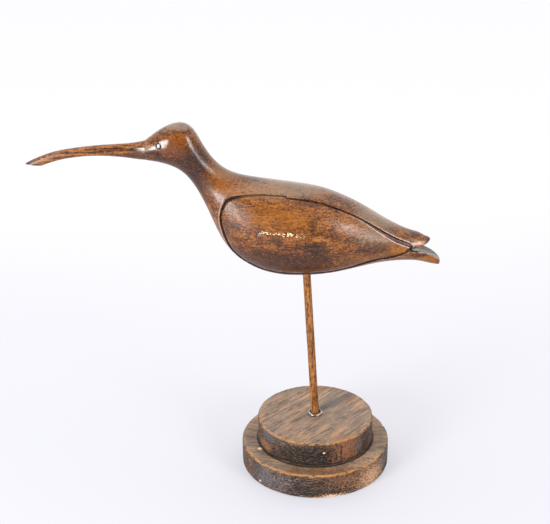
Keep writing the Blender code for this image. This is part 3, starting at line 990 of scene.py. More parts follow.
@dataclass(frozen=True)
class WingGroove:
    """The cut line round one folded wing."""

    # Rib number, degrees up the side, half widths towards the wing and away from it, depth,
    # how proud the wing stands beside it, how far the skin outside is cut back, and how pale
    # the lips on the wing and outside are, as wear and painted highlight.
    rows: tuple[tuple[float, ...], ...] = (
        (14.42, 14, 1.8, 1.6, 3.4, 0.2, 0.0, 0.5, 0.9),
        (13.7, 29, 2.3, 2.1, 4.2, 0.1, -0.4, 0.8, 1.0),
        (12.7, 46, 2.0, 1.8, 3.8, 0.1, -0.4, 0.5, 1.0),
        (11.8, 54.5, 1.5, 1.2, 2.8, 0.1, -0.3, 0.1, 0.4),
        (10.8, 57.5, 1.2, 1.1, 2.4, 0.1, 0.0, 0.0, 0.0),
        (9.8, 57, 1.3, 1.1, 2.6, 0.1, 0.0, 0.0, 0.0),
        (8.9, 54.3, 0.9, 0.8, 1.9, 0.1, 0.0, 0.0, 0.0),
        (8.0, 46.5, 0.8, 0.7, 1.6, 0.2, 0.1, 0.0, 0.0),
        (7.45, 32.5, 1.4, 0.8, 1.6, 0.3, 0.2, 0.0, 0.0),
        (7.12, 17, 2.4, 0.9, 1.8, 0.4, 0.3, 0.1, 0.0),
        (7.0, 1, 3.2, 0.9, 2.0, 0.5, 0.3, 0.1, 0.0),
        (7.08, -14, 2.6, 0.9, 2.0, 0.6, 0.35, 0.3, 0.0),
        (7.3, -31, 1.8, 1.2, 2.2, 0.65, 0.35, 0.5, 0.0),
        (7.6, -43, 1.8, 1.4, 2.3, 0.65, 0.35, 0.5, 0.0),
        (8.0, -53, 1.8, 1.8, 2.4, 0.65, 0.35, 0.6, 0.0),
        (8.45, -61.5, 1.8, 2.6, 2.5, 0.6, 0.3, 0.8, 0.0),
        (8.85, -66.5, 1.5, 3.2, 2.6, 0.5, 0.2, 0.8, 0.0),
        (9.4, -65, 1.5, 3.6, 2.6, 0.4, 0.1, 0.8, 0.0),
        (9.95, -62, 1.5, 3.6, 2.6, 0.4, 0.1, 0.6, 0.0),
        (10.6, -57, 2.3, 3.2, 3.0, 0.4, 0.1, 0.4, 0.0),
        (11.2, -53.5, 2.5, 2.6, 3.2, 0.4, 0.2, 0.3, 0.0),
        (11.75, -51.5, 2.6, 2.2, 3.2, 0.5, 0.3, 0.3, 0.0),
        (12.3, -44.5, 2.6, 1.8, 3.2, 0.5, 0.3, 0.3, 0.0),
        (12.95, -33, 2.5, 1.6, 3.0, 0.5, 0.3, 0.2, 0.0),
        (13.57, -27, 2.0, 1.5, 2.6, 0.4, 0.3, 0.2, 0.0),
        (14.0, -15.5, 1.7, 1.2, 2.3, 0.4, 0.3, 0.2, 0.0),
        (14.3, -3, 1.1, 1.0, 2.0, 0.3, 0.2, 0.3, 0.0),
    )
    steps: int = 24
    jog_place: float = 8.8
    jog_degrees: float = 1.5
    jog_reach: float = 0.8
    reach: float = 14.0

    def path(self) -> np.ndarray:
        """Return the rows read from a closed curve through them."""
        rows = np.array(self.rows)
        near = [np.roll(rows, shift, axis=0) for shift in (1, 0, -1, -2)]
        s = (np.arange(self.steps) / self.steps)[None, :, None]
        before, here, after, beyond = (item[:, None, :] for item in near)
        curve = 0.5 * (2.0 * here + (after - before) * s
                       + (2.0 * before - 5.0 * here + 4.0 * after - beyond) * s ** 2
                       + (3.0 * here - before - 3.0 * after + beyond) * s ** 3)
        curve = curve.reshape(-1, rows.shape[1])
        from_jog = curve[:, 0] - self.jog_place
        on_top = curve[:, 1] > 40.0
        jog = -np.tanh(from_jog / 0.035) * np.exp(-np.abs(from_jog) / self.jog_reach)
        curve[:, 1] += np.where(on_top, jog * self.jog_degrees, 0.0)
        return curve

    def line(self, loft: Loft, side: Side) -> np.ndarray:
        """Return the groove's centre line on the skin."""
        curve = self.path()
        angle = np.radians(curve[:, 1])
        return loft.skin(curve[:, 0], np.sin(angle), side.value * np.cos(angle))

    def measure(self, points: np.ndarray, normals: np.ndarray, loft: Loft,
                side: Side) -> tuple[np.ndarray, np.ndarray]:
        """Measure every point against the groove.

        Args:
            points: Points in millimetres.
            normals: Their normals.
            loft: The bird's form.
            side: Which wing.

        Returns:
            Distance from the centre line, positive on the wing, and the row of the nearest place.
        """
        line = self.line(loft, side)
        rows = self.path()
        tree = KDTree(len(line))
        for index, point in enumerate(line):
            tree.insert(point, index)
        tree.balance()
        along = np.roll(line, -1, axis=0) - np.roll(line, 1, axis=0)
        along /= np.linalg.norm(along, axis=1)[:, None]
        distance = np.full(len(points), self.reach)
        nearest = np.zeros(len(points), dtype=int)
        for index, point in enumerate(points):
            if point[1] * side.value < -1.0:
                continue
            _, found, away = tree.find(point)
            if away < self.reach:
                distance[index] = away
                nearest[index] = found
        from_line = points - line[nearest]
        inward = np.cross(along[nearest], normals) * -side.value
        inside = np.where(np.einsum("ij,ij->i", from_line, inward) > 0.0, 1.0, -1.0)
        flat = from_line - along[nearest] * np.einsum("ij,ij->i", from_line, along[nearest])[:, None]
        flat -= normals * np.einsum("ij,ij->i", flat, normals)[:, None]
        lateral = np.linalg.norm(flat, axis=1)
        close = distance < self.reach
        return np.where(close, lateral, self.reach) * inside, rows[nearest]


@dataclass(frozen=True)
class CarvedBird:
    """The bird, carved from one block: head, neck, body, folded wings, back and tail."""

    # Back x, back z, belly x, belly z and half width of each rib, from the face to the tail.
    ribs: tuple[tuple[float, ...], ...] = (
        (-161.5, 354.9, -161.0, 335.0, 7.6),
        (-149.5, 363.8, -151.5, 333.6, 11.4),
        (-135.2, 370.9, -142.5, 331.2, 14.4),
        (-119.3, 368.9, -134.5, 327.8, 15.4),
        (-108.0, 351.3, -128.0, 323.5, 14.6),
        (-97.4, 335.0, -120.7, 315.8, 13.8),
        (-82.3, 322.7, -112.2, 301.8, 15.5),
        (-62.7, 316.3, -104.3, 284.4, 21.5),
        (-40.8, 312.4, -95.2, 262.5, 29.5),
        (-18.0, 308.8, -79.4, 238.4, 35.0),
        (5.3, 304.1, -51.2, 221.0, 37.5),
        (27.4, 295.3, -17.0, 216.1, 36.5),
        (48.5, 283.8, 19.0, 219.2, 31.5),
        (69.0, 270.8, 52.5, 226.5, 24.0),
        (87.6, 261.4, 80.0, 229.1, 16.0),
        (100.0, 257.3, 99.5, 227.9, 10.8),
        (105.2, 254.5, 112.8, 224.6, 8.6),
        (108.6, 253.2, 121.3, 223.0, 6.6),
    )
    sides: int = 120
    rings_per_rib: int = 13
    end_round: float = 3.0
    end_taper: float = 3.0
    end_rings: tuple[float, ...] = (0.25, 0.5, 0.7, 0.85)
    # Each pass divides the skin within the first distance of a groove down to the second.
    bands: tuple[tuple[float, float], ...] = ((4.2, 0.9), (2.8, 0.6), (1.5, 0.34))
    eased_band: float = 3.4
    groove: WingGroove = WingGroove()
    # Corners of the notch between the back's tip and the tail, as x and z.
    notch_apex: tuple[float, float] = (87.0, 243.6)
    notch_roof: tuple[tuple[float, float], ...] = ((97.0, 245.3), (105.0, 247.0), (108.0, 248.0),
                                                   (110.4, 249.5), (112.6, 252.4), (132.0, 266.0))
    notch_floor: tuple[tuple[float, float], ...] = ((103.0, 240.4), (111.8, 237.0), (118.5, 232.6),
                                                    (123.8, 226.8), (128.0, 221.5))
    notch_half_width: float = 30.0
    # The hollow along the top of the tail as x, half width and depth.
    hollow: tuple[tuple[float, float, float], ...] = ((92.0, 8.0, 0.0), (97.0, 9.5, 1.2), (104.0, 9.0, 1.8),
                                                      (111.5, 7.4, 1.8), (118.0, 4.8, 1.2), (123.0, 2.5, 0.0))
    eye_centre: Colour = (-147.6, 9.95, 352.4)
    socket_radius: float = 3.45
    rod_head: tuple[float, float] = (-8.8, 211.4)
    rod_foot: tuple[float, float] = (0.0, 54.0)
    rod_hole: float = 4.1
    rod_depth: float = 18.3

    @property
    def loft(self) -> Loft:
        """The bird's smooth form."""
        return Loft(self.ribs, self.end_round, self.end_taper)

    def build(self, wood: bpy.types.Material) -> bpy.types.Object:
        """Carve the bird.

        Args:
            wood: Its finish.

        Returns:
            The finished piece.
        """
        bm = self.block()
        self.refine(bm)
        self.carve(bm)
        bmesh.ops.recalc_face_normals(bm, faces=bm.faces)
        rough = new_piece("bird_block", bm)
        cut(rough, self.notch())
        for side in Side:
            cut(rough, self.socket(side))
        cut(rough, self.rod_socket())
        bm = applied(rough)
        self.ease_notch(bm)
        bmesh.ops.triangulate(bm, faces=[face for face in bm.faces if len(face.verts) > 4])
        bird = new_piece("carved_bird", bm, wood)
        self.mark(bird)
        return install(bird, Slot.BIRD, "body")

    def block(self) -> bmesh.types.BMesh:
        """Return the lofted block, whose corners remember where on the loft they are."""
        bm = bmesh.new()
        layers = [bm.verts.layers.float.new(name) for name in ("place", "up", "out")]
        places = [step / self.rings_per_rib for step in range(self.loft.last * self.rings_per_rib + 1)]
        places += [self.loft.last + share for share in self.end_rings]
        rings = []
        for place in places:
            edges = ring(bm, Vector(), Vector((0.0, 1.0, 0.0)), Vector((1.0, 0.0, 0.0)), self.sides)
            for vert in dict.fromkeys(vert for edge in edges for vert in edge.verts):
                for layer, value in zip(layers, (place, vert.co.x / MM, vert.co.y / MM)):
                    vert[layer] = value
            rings.append(edges)
        self.settle(bm)
        bridge_all(bm, rings)
        return bm

    def settle(self, bm: bmesh.types.BMesh) -> None:
        """Put every corner on the loft at its remembered place."""
        layers = [bm.verts.layers.float[name] for name in ("place", "up", "out")]
        place, up, out = np.array([[vert[layer] for layer in layers] for vert in bm.verts]).T
        length = np.hypot(up, out)
        move_to(bm, self.loft.skin(place, up / length, out / length))

    def refine(self, bm: bmesh.types.BMesh) -> None:
        """Divide the skin more finely beside the grooves and at the tail."""
        lines = np.concatenate([self.groove.line(self.loft, side) for side in Side])
        tree = KDTree(len(lines))
        for index, point in enumerate(lines):
            tree.insert(point, index)
        tree.balance()
        for band, longest in self.bands:
            points = points_of(bm)
            bm.verts.index_update()
            close = np.array([tree.find(point)[2] < band for point in points])
            close |= (points[:, 0] > 91.0) & (longest == self.bands[0][1])
            chosen = []
            for edge in bm.edges:
                first, second = (vert.index for vert in edge.verts)
                if close[first] and close[second] and edge.calc_length() > longest * MM:
                    chosen.append(edge)
            bmesh.ops.subdivide_edges(bm, edges=chosen, cuts=1, use_grid_fill=True)
            self.settle(bm)

    def carve(self, bm: bmesh.types.BMesh) -> None:
        """Cut the grooves and leave the marks of the knife."""
        bm.normal_update()
        points = points_of(bm)
        normals = np.array([vert.normal[:] for vert in bm.verts])
        height = field_noise(points, 17.0, 4.2) * 0.12 + field_noise(points, 8.0, 9.1) * 0.04 - 0.06
        beside = np.zeros(len(points), dtype=bool)
        for side in Side:
            across, rows = self.groove.measure(points, normals, self.loft, side)
            inner, outer, depth, proud, back = rows[:, 2:7].T
            share = np.where(across > 0.0, across / inner, -across / outer)
            height -= depth * (1.0 - smooth_step(share, 0.15, 1.0))
            height += np.where(across > 0.0,
                               proud * np.exp(-across / 6.0) * smooth_step(across, 0.0, 1.2), 0.0)
            height -= np.where(across < 0.0,
                               back * np.exp(across / 5.0) * smooth_step(-across, 0.0, 1.2), 0.0)
            beside |= np.abs(across) < self.eased_band
        move_to(bm, points + normals * height[:, None])
        near = [vert for vert, is_near in zip(bm.verts, beside) if is_near]
        for _ in range(2):
            bmesh.ops.smooth_vert(bm, verts=near, factor=0.5,
                                  use_axis_x=True, use_axis_y=True, use_axis_z=True)

    def notch(self) -> bpy.types.Object:
        """Return the wedge that parts the back's tip from the hollowed tail."""
        bm = bmesh.new()
        steps_along, steps_across = 84, 120
        start, end = self.notch_apex[0], self.notch_roof[-1][0]
        sheets = []
        for outline in (self.notch_roof, self.notch_floor):
            made = bmesh.ops.create_grid(bm, x_segments=steps_along, y_segments=steps_across, size=1.0)
            outline_x, outline_z = np.array((self.notch_apex, *outline)).T
            bend = Spline(np.stack([outline_x, outline_z], 1))
            floor_line = bend.at(np.linspace(0.0, len(outline_x) - 1, steps_along + 1))
            for vert in made["verts"]:
                share = (vert.co.x + 1.0) / 2.0
                y = vert.co.y * self.notch_half_width
                x = start + (end - start) * share
                if outline is self.notch_floor:
                    x, z = floor_line[round(share * steps_along)]
                    hollow_x, half_width, deep = np.array(self.hollow).T
                    width = np.interp(x, hollow_x, half_width)
                    z -= np.interp(x, hollow_x, deep) * max(0.0, 1.0 - (y / width) ** 2)
                else:
                    z = np.interp(x, outline_x, outline_z)
                vert.co = Vector((x, y, z)) * MM
            rim = [edge for vert in made["verts"] for edge in vert.link_edges if edge.is_boundary]
            sheets.append(list(dict.fromkeys(rim)))
        bmesh.ops.bridge_loops(bm, edges=sheets[0] + sheets[1])
        bmesh.ops.recalc_face_normals(bm, faces=bm.faces)
        return new_piece("tail_notch", bm)

    def socket(self, side: Side) -> bpy.types.Object:
        """Return the ball that sinks one eye socket."""
        x, y, z = self.eye_centre
        bm = bmesh.new()
        place = (Matrix.Translation(Vector((x, side.value * y, z)) * MM)
                 @ Matrix.Rotation(math.pi / 2.0, 4, "X"))
        bmesh.ops.create_uvsphere(bm, u_segments=40, v_segments=24,
                                  radius=self.socket_radius * MM, matrix=place)
        return new_piece(f"eye_socket_{side.name.lower()}", bm)

    def rod_socket(self) -> bpy.types.Object:
        """Return the bar that drills the belly for the rod."""
        foot = Vector((self.rod_foot[0], 0.0, self.rod_foot[1]))
        head = Vector((self.rod_head[0], 0.0, self.rod_head[1]))
        along = (head - foot).normalized()
        low, high = head - along * 60.0, head + along * self.rod_depth
        turn = Vector((0.0, 0.0, 1.0)).rotation_difference(along).to_matrix().to_4x4()
        bm = bmesh.new()
        bmesh.ops.create_cone(bm, cap_ends=True, segments=48, radius1=self.rod_hole * MM,
                              radius2=self.rod_hole * MM, depth=(high - low).length * MM,
                              matrix=Matrix.Translation((low + high) / 2.0 * MM) @ turn)
        return new_piece("rod_socket", bm)

    def ease_notch(self, bm: bmesh.types.BMesh) -> None:
        """Round the cut rims of the notch over, as handling has worn them."""
        bmesh.ops.remove_doubles(bm, verts=bm.verts, dist=0.04 * MM)
        rims = [edge for edge in bm.edges if len(edge.link_faces) == 2
                and edge.verts[0].co.x > 91.0 * MM and edge.calc_face_angle(0.0) > math.radians(35.0)]
        on_rims = dict.fromkeys(vert for edge in rims for vert in edge.verts)
        beside = (edge.other_vert(vert) for vert in list(on_rims) for edge in vert.link_edges)
        near = list(dict.fromkeys((*on_rims, *beside)))
        for _ in range(3):
            bmesh.ops.smooth_vert(bm, verts=near, factor=0.5,
                                  use_axis_x=True, use_axis_y=True, use_axis_z=True)

    def mark(self, bird: bpy.types.Object) -> None:
        """Store how deep in a groove (dirt and painted shade), how near a pale rim (wear and painted
        highlight) and how far in the tail's hollow (painted shadow and reflection) every corner is.
        """
        count = len(bird.data.vertices)
        points = np.empty(count * 3)
        normals = np.empty(count * 3)
        bird.data.vertices.foreach_get("co", points)
        bird.data.vertices.foreach_get("normal", normals)
        points = points.reshape(-1, 3) / MM
        normals = normals.reshape(-1, 3)
        groove = np.zeros(count)
        lip_wear_and_highlight = np.zeros(count)
        for side in Side:
            across, rows = self.groove.measure(points, normals, self.loft, side)
            inner, outer, depth, _, _, pale_in, pale_out = rows[:, 2:].T
            share = np.where(across > 0.0, across / inner, -across / outer)
            below = depth * (1.0 - smooth_step(share, 0.15, 1.0))
            # A painted dark line along the wing's edge where the groove is wide, for the shade beneath that
            # edge.
            edge = np.exp(-((across - inner) / 0.45) ** 2) * smooth_step(inner, 2.4, 3.4)
            groove = np.maximum(groove, np.maximum(smooth_step(below, 0.2, 1.1), 0.8 * edge))
            half = np.where(across > 0.0, inner, outer)
            pale = np.where(across > 0.0, pale_in, pale_out)
            lip_wear_and_highlight = np.maximum(lip_wear_and_highlight, pale * np.exp(-((np.abs(across) - half - 0.3) / 0.55) ** 2))
        remember(bird, "groove", groove)
        # The tail's rim in the notch is painted pale as well, as wear and highlight.
        floor_x, floor_z = np.array(self.notch_floor).T
        above_rim = points[:, 2] - np.interp(points[:, 0], floor_x, floor_z)
        tail_rim = np.exp(-(above_rim / 0.7) ** 2) * smooth_step(points[:, 0], 98.0, 102.0)
        remember(bird, "lip_wear_and_highlight", np.maximum(lip_wear_and_highlight, 0.7 * tail_rim))
        # Upward faces in the tail's hollow, which the finish paints with shadow and sky reflection.
        behind = smooth_step(points[:, 0], 88.0, 93.0) * smooth_step(points[:, 2], 246.5, 244.5)
        remember(bird, "hollow", behind * smooth_step(normals[:, 2], 0.3, 0.55))


@dataclass(frozen=True)
class Bill:
    """The long drooping bill, a piece of its own."""

    # Rib rows in the same form as the bird's, from the tip to the face.
    ribs: tuple[tuple[float, ...], ...] = (
        (-279.0, 331.3, -277.0, 323.5, 3.0),
        (-268.0, 337.2, -264.0, 329.2, 3.7),
        (-248.0, 344.3, -246.0, 335.5, 4.2),
        (-222.0, 348.7, -221.5, 339.4, 4.6),
        (-198.0, 350.8, -198.0, 339.5, 4.8),
        (-181.0, 351.7, -181.0, 337.9, 4.8),
        (-171.0, 352.8, -170.8, 336.3, 5.6),
        (-161.9, 354.5, -161.4, 335.3, 7.4),
    )
    sides: int = 56
    rings_per_rib: int = 16
    tip: tuple[float, float] = (-276.25, 332.7)
    heel: tuple[float, float] = (-261.4, 331.1)

    def build(self, wood: bpy.types.Material) -> bpy.types.Object:
        """Make the bill and slice its underside flat at the tip.

        Args:
            wood: Its finish.

        Returns:
            The finished piece.
        """
        loft = Loft(self.ribs)
        bm = bmesh.new()
        rings = []
        for step in range(loft.last * self.rings_per_rib + 1):
            edges = ring(bm, Vector(), Vector((0.0, 1.0, 0.0)), Vector((1.0, 0.0, 0.0)), self.sides)
            verts = list(dict.fromkeys(vert for edge in edges for vert in edge.verts))
            up = np.array([vert.co.x for vert in verts]) / MM
            out = np.array([vert.co.y for vert in verts]) / MM
            places = np.full(len(verts), step / self.rings_per_rib)
            for vert, point in zip(verts, loft.skin(places, up, out)):
                vert.co = point * MM
            rings.append(edges)
        bridge_all(bm, rings)
        bm.normal_update()
        points = points_of(bm)
        normals = np.array([vert.normal[:] for vert in bm.verts])
        height = field_noise(points, (12.0, 5.0, 5.0), 2.6) * 0.10
        move_to(bm, points + normals * height[:, None])
        tip = Vector((self.tip[0], 0.0, self.tip[1])) * MM
        heel = Vector((self.heel[0], 0.0, self.heel[1])) * MM
        along = heel - tip
        geometry = bm.verts[:] + bm.edges[:] + bm.faces[:]
        sliced = bmesh.ops.bisect_plane(bm, geom=geometry, plane_co=tip, clear_outer=True,
                                        plane_no=Vector((along.z, 0.0, -along.x)))
        rim = [item for item in sliced["geom_cut"] if isinstance(item, bmesh.types.BMEdge)]
        bmesh.ops.edgeloop_fill(bm, edges=rim)
        bmesh.ops.triangulate(bm, faces=[face for face in bm.faces if len(face.verts) > 4])
        return install(new_piece("long_bill", bm, wood), Slot.BILL, "bill")


@dataclass(frozen=True)
class BeadEye:
    """One glossy black bead eye, low and broad like a polished pin head."""

    side: Side
    centre: Colour = (-147.6, 9.95, 352.4)
    radius: float = 3.4
    dome: float = 1.4
    flat: float = 2.9
    facing: Colour = (-0.32, 1.0, 0.24)
    raised: float = 0.9

    def build(self, glass: bpy.types.Material) -> bpy.types.Object:
        """Make the bead.

        Args:
            glass: Its finish.

        Returns:
            The finished piece.
        """
        x, y, z = self.centre
        outward = Vector((self.facing[0], self.side.value * self.facing[1], self.facing[2])).normalized()
        middle = Vector((x, self.side.value * y, z)) + outward * self.raised
        turn = Vector((0.0, 0.0, 1.0)).rotation_difference(outward).to_matrix().to_4x4()
        bm = bmesh.new()
        bmesh.ops.create_uvsphere(bm, u_segments=48, v_segments=32, radius=1.0)
        for vert in bm.verts:
            share = min(1.0, vert.co.xy.length)
            height = self.dome * (1.0 - share ** self.flat) ** (1.0 / self.flat)
            vert.co = Vector((vert.co.x * self.radius, vert.co.y * self.radius,
                              math.copysign(height, vert.co.z)))
        bmesh.ops.transform(bm, matrix=Matrix.Translation(middle * MM) @ turn @ Matrix.Scale(MM, 4),
                            verts=bm.verts)
        name = f"bead_eye_{self.side.name.lower()}"
        return install(new_piece(name, bm, glass), Slot.EYE, f"eye_{self.side.name.lower()}")


@dataclass(frozen=True)
class LegRod:
    """The thin dowel that carries the bird."""

    foot: tuple[float, float] = (0.0, 54.0)
    head: tuple[float, float] = (-8.8, 211.4)
    radius: float = 4.0
    below: float = 20.0
    above: float = 18.0
    sides: int = 48
    ring_gap: float = 1.6

    def build(self, wood: bpy.types.Material) -> bpy.types.Object:
        """Make the rod.

        Args:
            wood: Its finish.

        Returns:
            The finished piece.
        """
        foot = Vector((self.foot[0], 0.0, self.foot[1]))
        head = Vector((self.head[0], 0.0, self.head[1]))
        along = (head - foot).normalized()
        low, high = foot - along * self.below, head + along * self.above
        side = Vector((0.0, 1.0, 0.0))
        bm = bmesh.new()
        count = int((high - low).length / self.ring_gap)
        rings = []
        for step in range(count + 1):
            centre = low.lerp(high, step / count)
            rings.append(ring(bm, centre, side * self.radius, side.cross(along) * self.radius, self.sides))
        bridge_all(bm, rings)
        bm.normal_update()
        points = points_of(bm)
        normals = np.array([vert.normal[:] for vert in bm.verts])
        free = smooth_step(points[:, 2], 55.0, 60.0) * smooth_step(points[:, 2], 214.0, 208.0)
        height = field_noise(points, (6.0, 6.0, 22.0), 1.4) * 0.12 * free
        move_to(bm, points + normals * height[:, None])
        return install(new_piece("leg_dowel", bm, wood), Slot.ROD, "leg_rod")


@dataclass(frozen=True)
class RodCollar:
    """The small pale metal ring round the rod's foot."""

    bottom: float = 54.3
    height: float = 2.2
    outer: float = 7.4
    inner: float = 4.6
    sides: int = 96
    rounds: int = 28

    def build(self, metal: bpy.types.Material) -> bpy.types.Object:
        """Turn the ring with a rounded section.

        Args:
            metal: Its finish.

        Returns:
            The finished piece.
        """
        bm = bmesh.new()
        middle = (self.outer + self.inner) / 2.0
        half = (self.outer - self.inner) / 2.0
        centre = Vector((middle, 0.0, self.bottom + self.height / 2.0))
        section = ring(bm, centre, Vector((half, 0.0, 0.0)), Vector((0.0, 0.0, self.height / 2.0)),
                       self.rounds)
        bmesh.ops.spin(bm, geom=section, axis=(0.0, 0.0, 1.0), cent=(0.0, 0.0, 0.0), steps=self.sides,
                       angle=math.tau, use_merge=True)
        bmesh.ops.remove_doubles(bm, verts=bm.verts, dist=0.001 * MM)
        bmesh.ops.recalc_face_normals(bm, faces=bm.faces)
        return install(new_piece("collar_ring", bm, metal), Slot.COLLAR, "rod_collar")


@dataclass(frozen=True)
class BaseDisc:
    """One turned disc of the base."""

    name: str
    node: str
    radius: float
    bottom: float
    top: float
    grain: float
    seed: float
    stains: tuple[Stain, ...]
    seat: float = 0.0
    round_over: float = 1.8
    turns: int = 60
    splits: int = 11
    pitch: float = 0.75

    def section(self) -> list[tuple[float, float]]:
        """Return the disc's section from the middle of its top to the middle of its underside."""
        corner = self.round_over
        out, low, high = self.radius, self.bottom, self.top
        quarter = [math.radians(step) for step in range(0, 91, 15)]
        rim = [(out - corner + corner * math.sin(a), high - corner + corner * math.cos(a)) for a in quarter]
        heel = [(out - corner + corner * math.cos(a), low + corner - corner * math.sin(a)) for a in quarter]
        flat = [((out - corner) * step / 44, high) for step in range(44)]
        wall_steps = int((high - low - 2.0 * corner) / self.pitch)
        wall = [(out, high - corner - (high - low - 2.0 * corner) * step / wall_steps)
                for step in range(1, wall_steps)]
        under = [((out - corner) * (1.0 - step / 8), low) for step in range(1, 9)]
        return flat + rim + wall + heel + under

    def build(self, wood: bpy.types.Material) -> bpy.types.Object:
        """Turn the disc, then wear its rims and raise its grain.

        Args:
            wood: Its finish.

        Returns:
            The finished piece.
        """
        bm = bmesh.new()
        verts = [bm.verts.new(Vector((x, 0.0, z)) * MM) for x, z in self.section()]
        edges = [bm.edges.new(pair) for pair in zip(verts, verts[1:])]
        bmesh.ops.spin(bm, geom=verts + edges, axis=(0.0, 0.0, 1.0), cent=(0.0, 0.0, 0.0), steps=self.turns,
                       angle=math.tau, use_merge=True)
        bmesh.ops.remove_doubles(bm, verts=bm.verts, dist=0.002 * MM)
        self.round_off(bm)
        bmesh.ops.recalc_face_normals(bm, faces=bm.faces)
        self.weather(bm)
        disc = new_piece(self.name, bm, wood)
        return install(disc, Slot.BASE, self.node)

    def round_off(self, bm: bmesh.types.BMesh) -> None:
        """Divide the coarse turns and put the new corners back on their circles."""
        level = [edge for edge in bm.edges if abs(edge.verts[0].co.z - edge.verts[1].co.z) < 0.001 * MM
                 and abs(edge.verts[0].co.xy.length - edge.verts[1].co.xy.length) < 0.001 * MM]
        bmesh.ops.subdivide_edges(bm, edges=level, cuts=self.splits - 1, use_grid_fill=True)
        points = points_of(bm)
        half = math.pi / self.turns
        angle = np.arctan2(points[:, 1], points[:, 0]) % (2.0 * half) - half
        points[:, :2] *= (np.cos(angle) / math.cos(half))[:, None]
        move_to(bm, points)

    def weather(self, bm: bmesh.types.BMesh) -> None:
        """Raise the grain, and chip and soften the rims, always inward."""
        bm.normal_update()
        points = points_of(bm)
        normals = np.array([vert.normal[:] for vert in bm.verts])
        turn = math.radians(self.grain)
        along = points @ np.array([[math.cos(turn), -math.sin(turn), 0.0],
                                   [math.sin(turn), math.cos(turn), 0.0],
                                   [0.0, 0.0, 1.0]])
        grain = field_noise(along, (30.0, 2.2, 2.0), self.seed) * 0.16
        grain += field_noise(along, (12.0, 1.1, 0.9), self.seed + 5.0) * 0.10
        radius = np.hypot(points[:, 0], points[:, 1])
        rim = smooth_step(radius, self.radius - 4.0, self.radius) * np.maximum(
            smooth_step(points[:, 2], self.top - 4.0, self.top),
            smooth_step(points[:, 2], self.bottom + 4.0, self.bottom))
        chips = np.clip(field_noise(points, 7.0, self.seed + 11.0) - 0.25, 0.0, 1.0) * 2.2
        depth = 0.28 - grain + rim * (0.25 + chips)
        flat_below = smooth_step(points[:, 2], self.bottom + 0.6, self.bottom + 0.1)
        depth *= 1.0 - flat_below * smooth_step(radius, self.radius - 2.0, self.radius - 4.0)
        move_to(bm, points - normals * np.maximum(depth, 0.0)[:, None])


BLUE_GREY: Colour = (0.075, 0.078, 0.088)
SOOT: Colour = (0.010, 0.008, 0.007)
LAVENDER: Colour = (0.190, 0.160, 0.185)
UMBER: Colour = (0.115, 0.052, 0.019)
RUST: Colour = (0.230, 0.092, 0.044)
RAW: Colour = (0.520, 0.235, 0.095)
CHALK: Colour = (0.700, 0.540, 0.420)

UPPER_DISC = BaseDisc("base_disc_upper", "upper_disc", 59.7, 27.5, 54.0, 47.0, 17.0, (
    Stain(BLUE_GREY, (26.0, 25.0, 54.0), (27.0, 5.5, 6.0), 0.75, 4.0, 0.3, turn=47.0),
    Stain(SOOT, (-10.0, -58.0, 33.0), (46.0, 22.0, 17.0), 0.95, 3.0, 0.35),
    Stain(BLUE_GREY, (-49.0, -35.0, 49.0), (11.0, 14.0, 6.0), 0.7),
    Stain(BLUE_GREY, (43.0, -42.0, 44.0), (6.0, 7.0, 12.0), 0.70, 2.5, 0.7),
    Stain(RUST, (31.0, -51.0, 42.0), (15.0, 11.0, 14.0), 0.85, 1.4, 1.3),
    Stain(RUST, (-52.0, -29.0, 34.0), (8.0, 12.0, 5.0), 0.7),
    Stain(RUST, (6.0, 52.0, 54.0), (16.0, 5.0, 5.0), 0.4, turn=20.0),
    Stain(RUST, (38.0, 30.0, 54.0), (14.0, 4.0, 5.0), 0.5, turn=47.0),
    Stain(SOOT, (24.5, -54.5, 39.0), (1.0, 5.0, 10.0), 0.85, 2.0, 0.4),
    Stain(SOOT, (19.5, -56.5, 37.0), (0.8, 5.0, 7.0), 0.75, 2.0, 0.4),
    Stain(CHALK, (7.0, -59.0, 43.0), (1.2, 2.0, 0.9), 0.95, 1.0, 0.2, 0.4),
))
LOWER_DISC = BaseDisc("base_disc_lower", "lower_disc", 76.2, 0.0, 27.2, -12.0, 3.0, (
    Stain(BLUE_GREY, (-55.0, -52.0, 13.0), (17.0, 14.0, 10.0), 0.65, 1.8, 1.2),
    Stain(LAVENDER, (-38.0, -66.0, 13.0), (26.0, 12.0, 9.0), 0.30, 1.3, 2.0),
    Stain(SOOT, (-8.0, -74.0, 9.0), (50.0, 9.0, 14.0), 0.60, 2.4, 1.2),
    Stain(BLUE_GREY, (70.0, -28.0, 18.0), (8.0, 15.0, 9.0), 0.65),
    Stain(RUST, (30.0, -70.0, 18.0), (20.0, 8.0, 8.0), 0.55, 1.5, 1.5),
    Stain(RAW, (55.0, -53.0, 10.0), (15.0, 15.0, 12.0), 0.85, 1.4, 1.5),
    Stain(CHALK, (57.0, -51.0, 9.0), (11.0, 11.0, 9.0), 0.36, 1.2, 2.6),
    Stain(UMBER, (-6.0, -68.0, 27.2), (52.0, 8.0, 3.0), 0.75, 2.2, 1.6),
    Stain(RAW, (14.0, -75.0, 0.6), (19.0, 7.0, 3.2), 0.95, 1.6, 0.9),
    Stain(CHALK, (17.0, -74.0, 0.8), (12.0, 7.0, 2.4), 0.85, 1.3, 1.2),
    Stain(CHALK, (-58.0, -50.0, 4.6), (1.6, 1.6, 1.4), 0.9, 1.0, 0.3, 0.4),
    Stain(CHALK, (-57.0, -24.0, 27.2), (3.0, 1.8, 1.6), 0.95, 1.5, 0.3, 0.4),
), 59.7)


# Studio


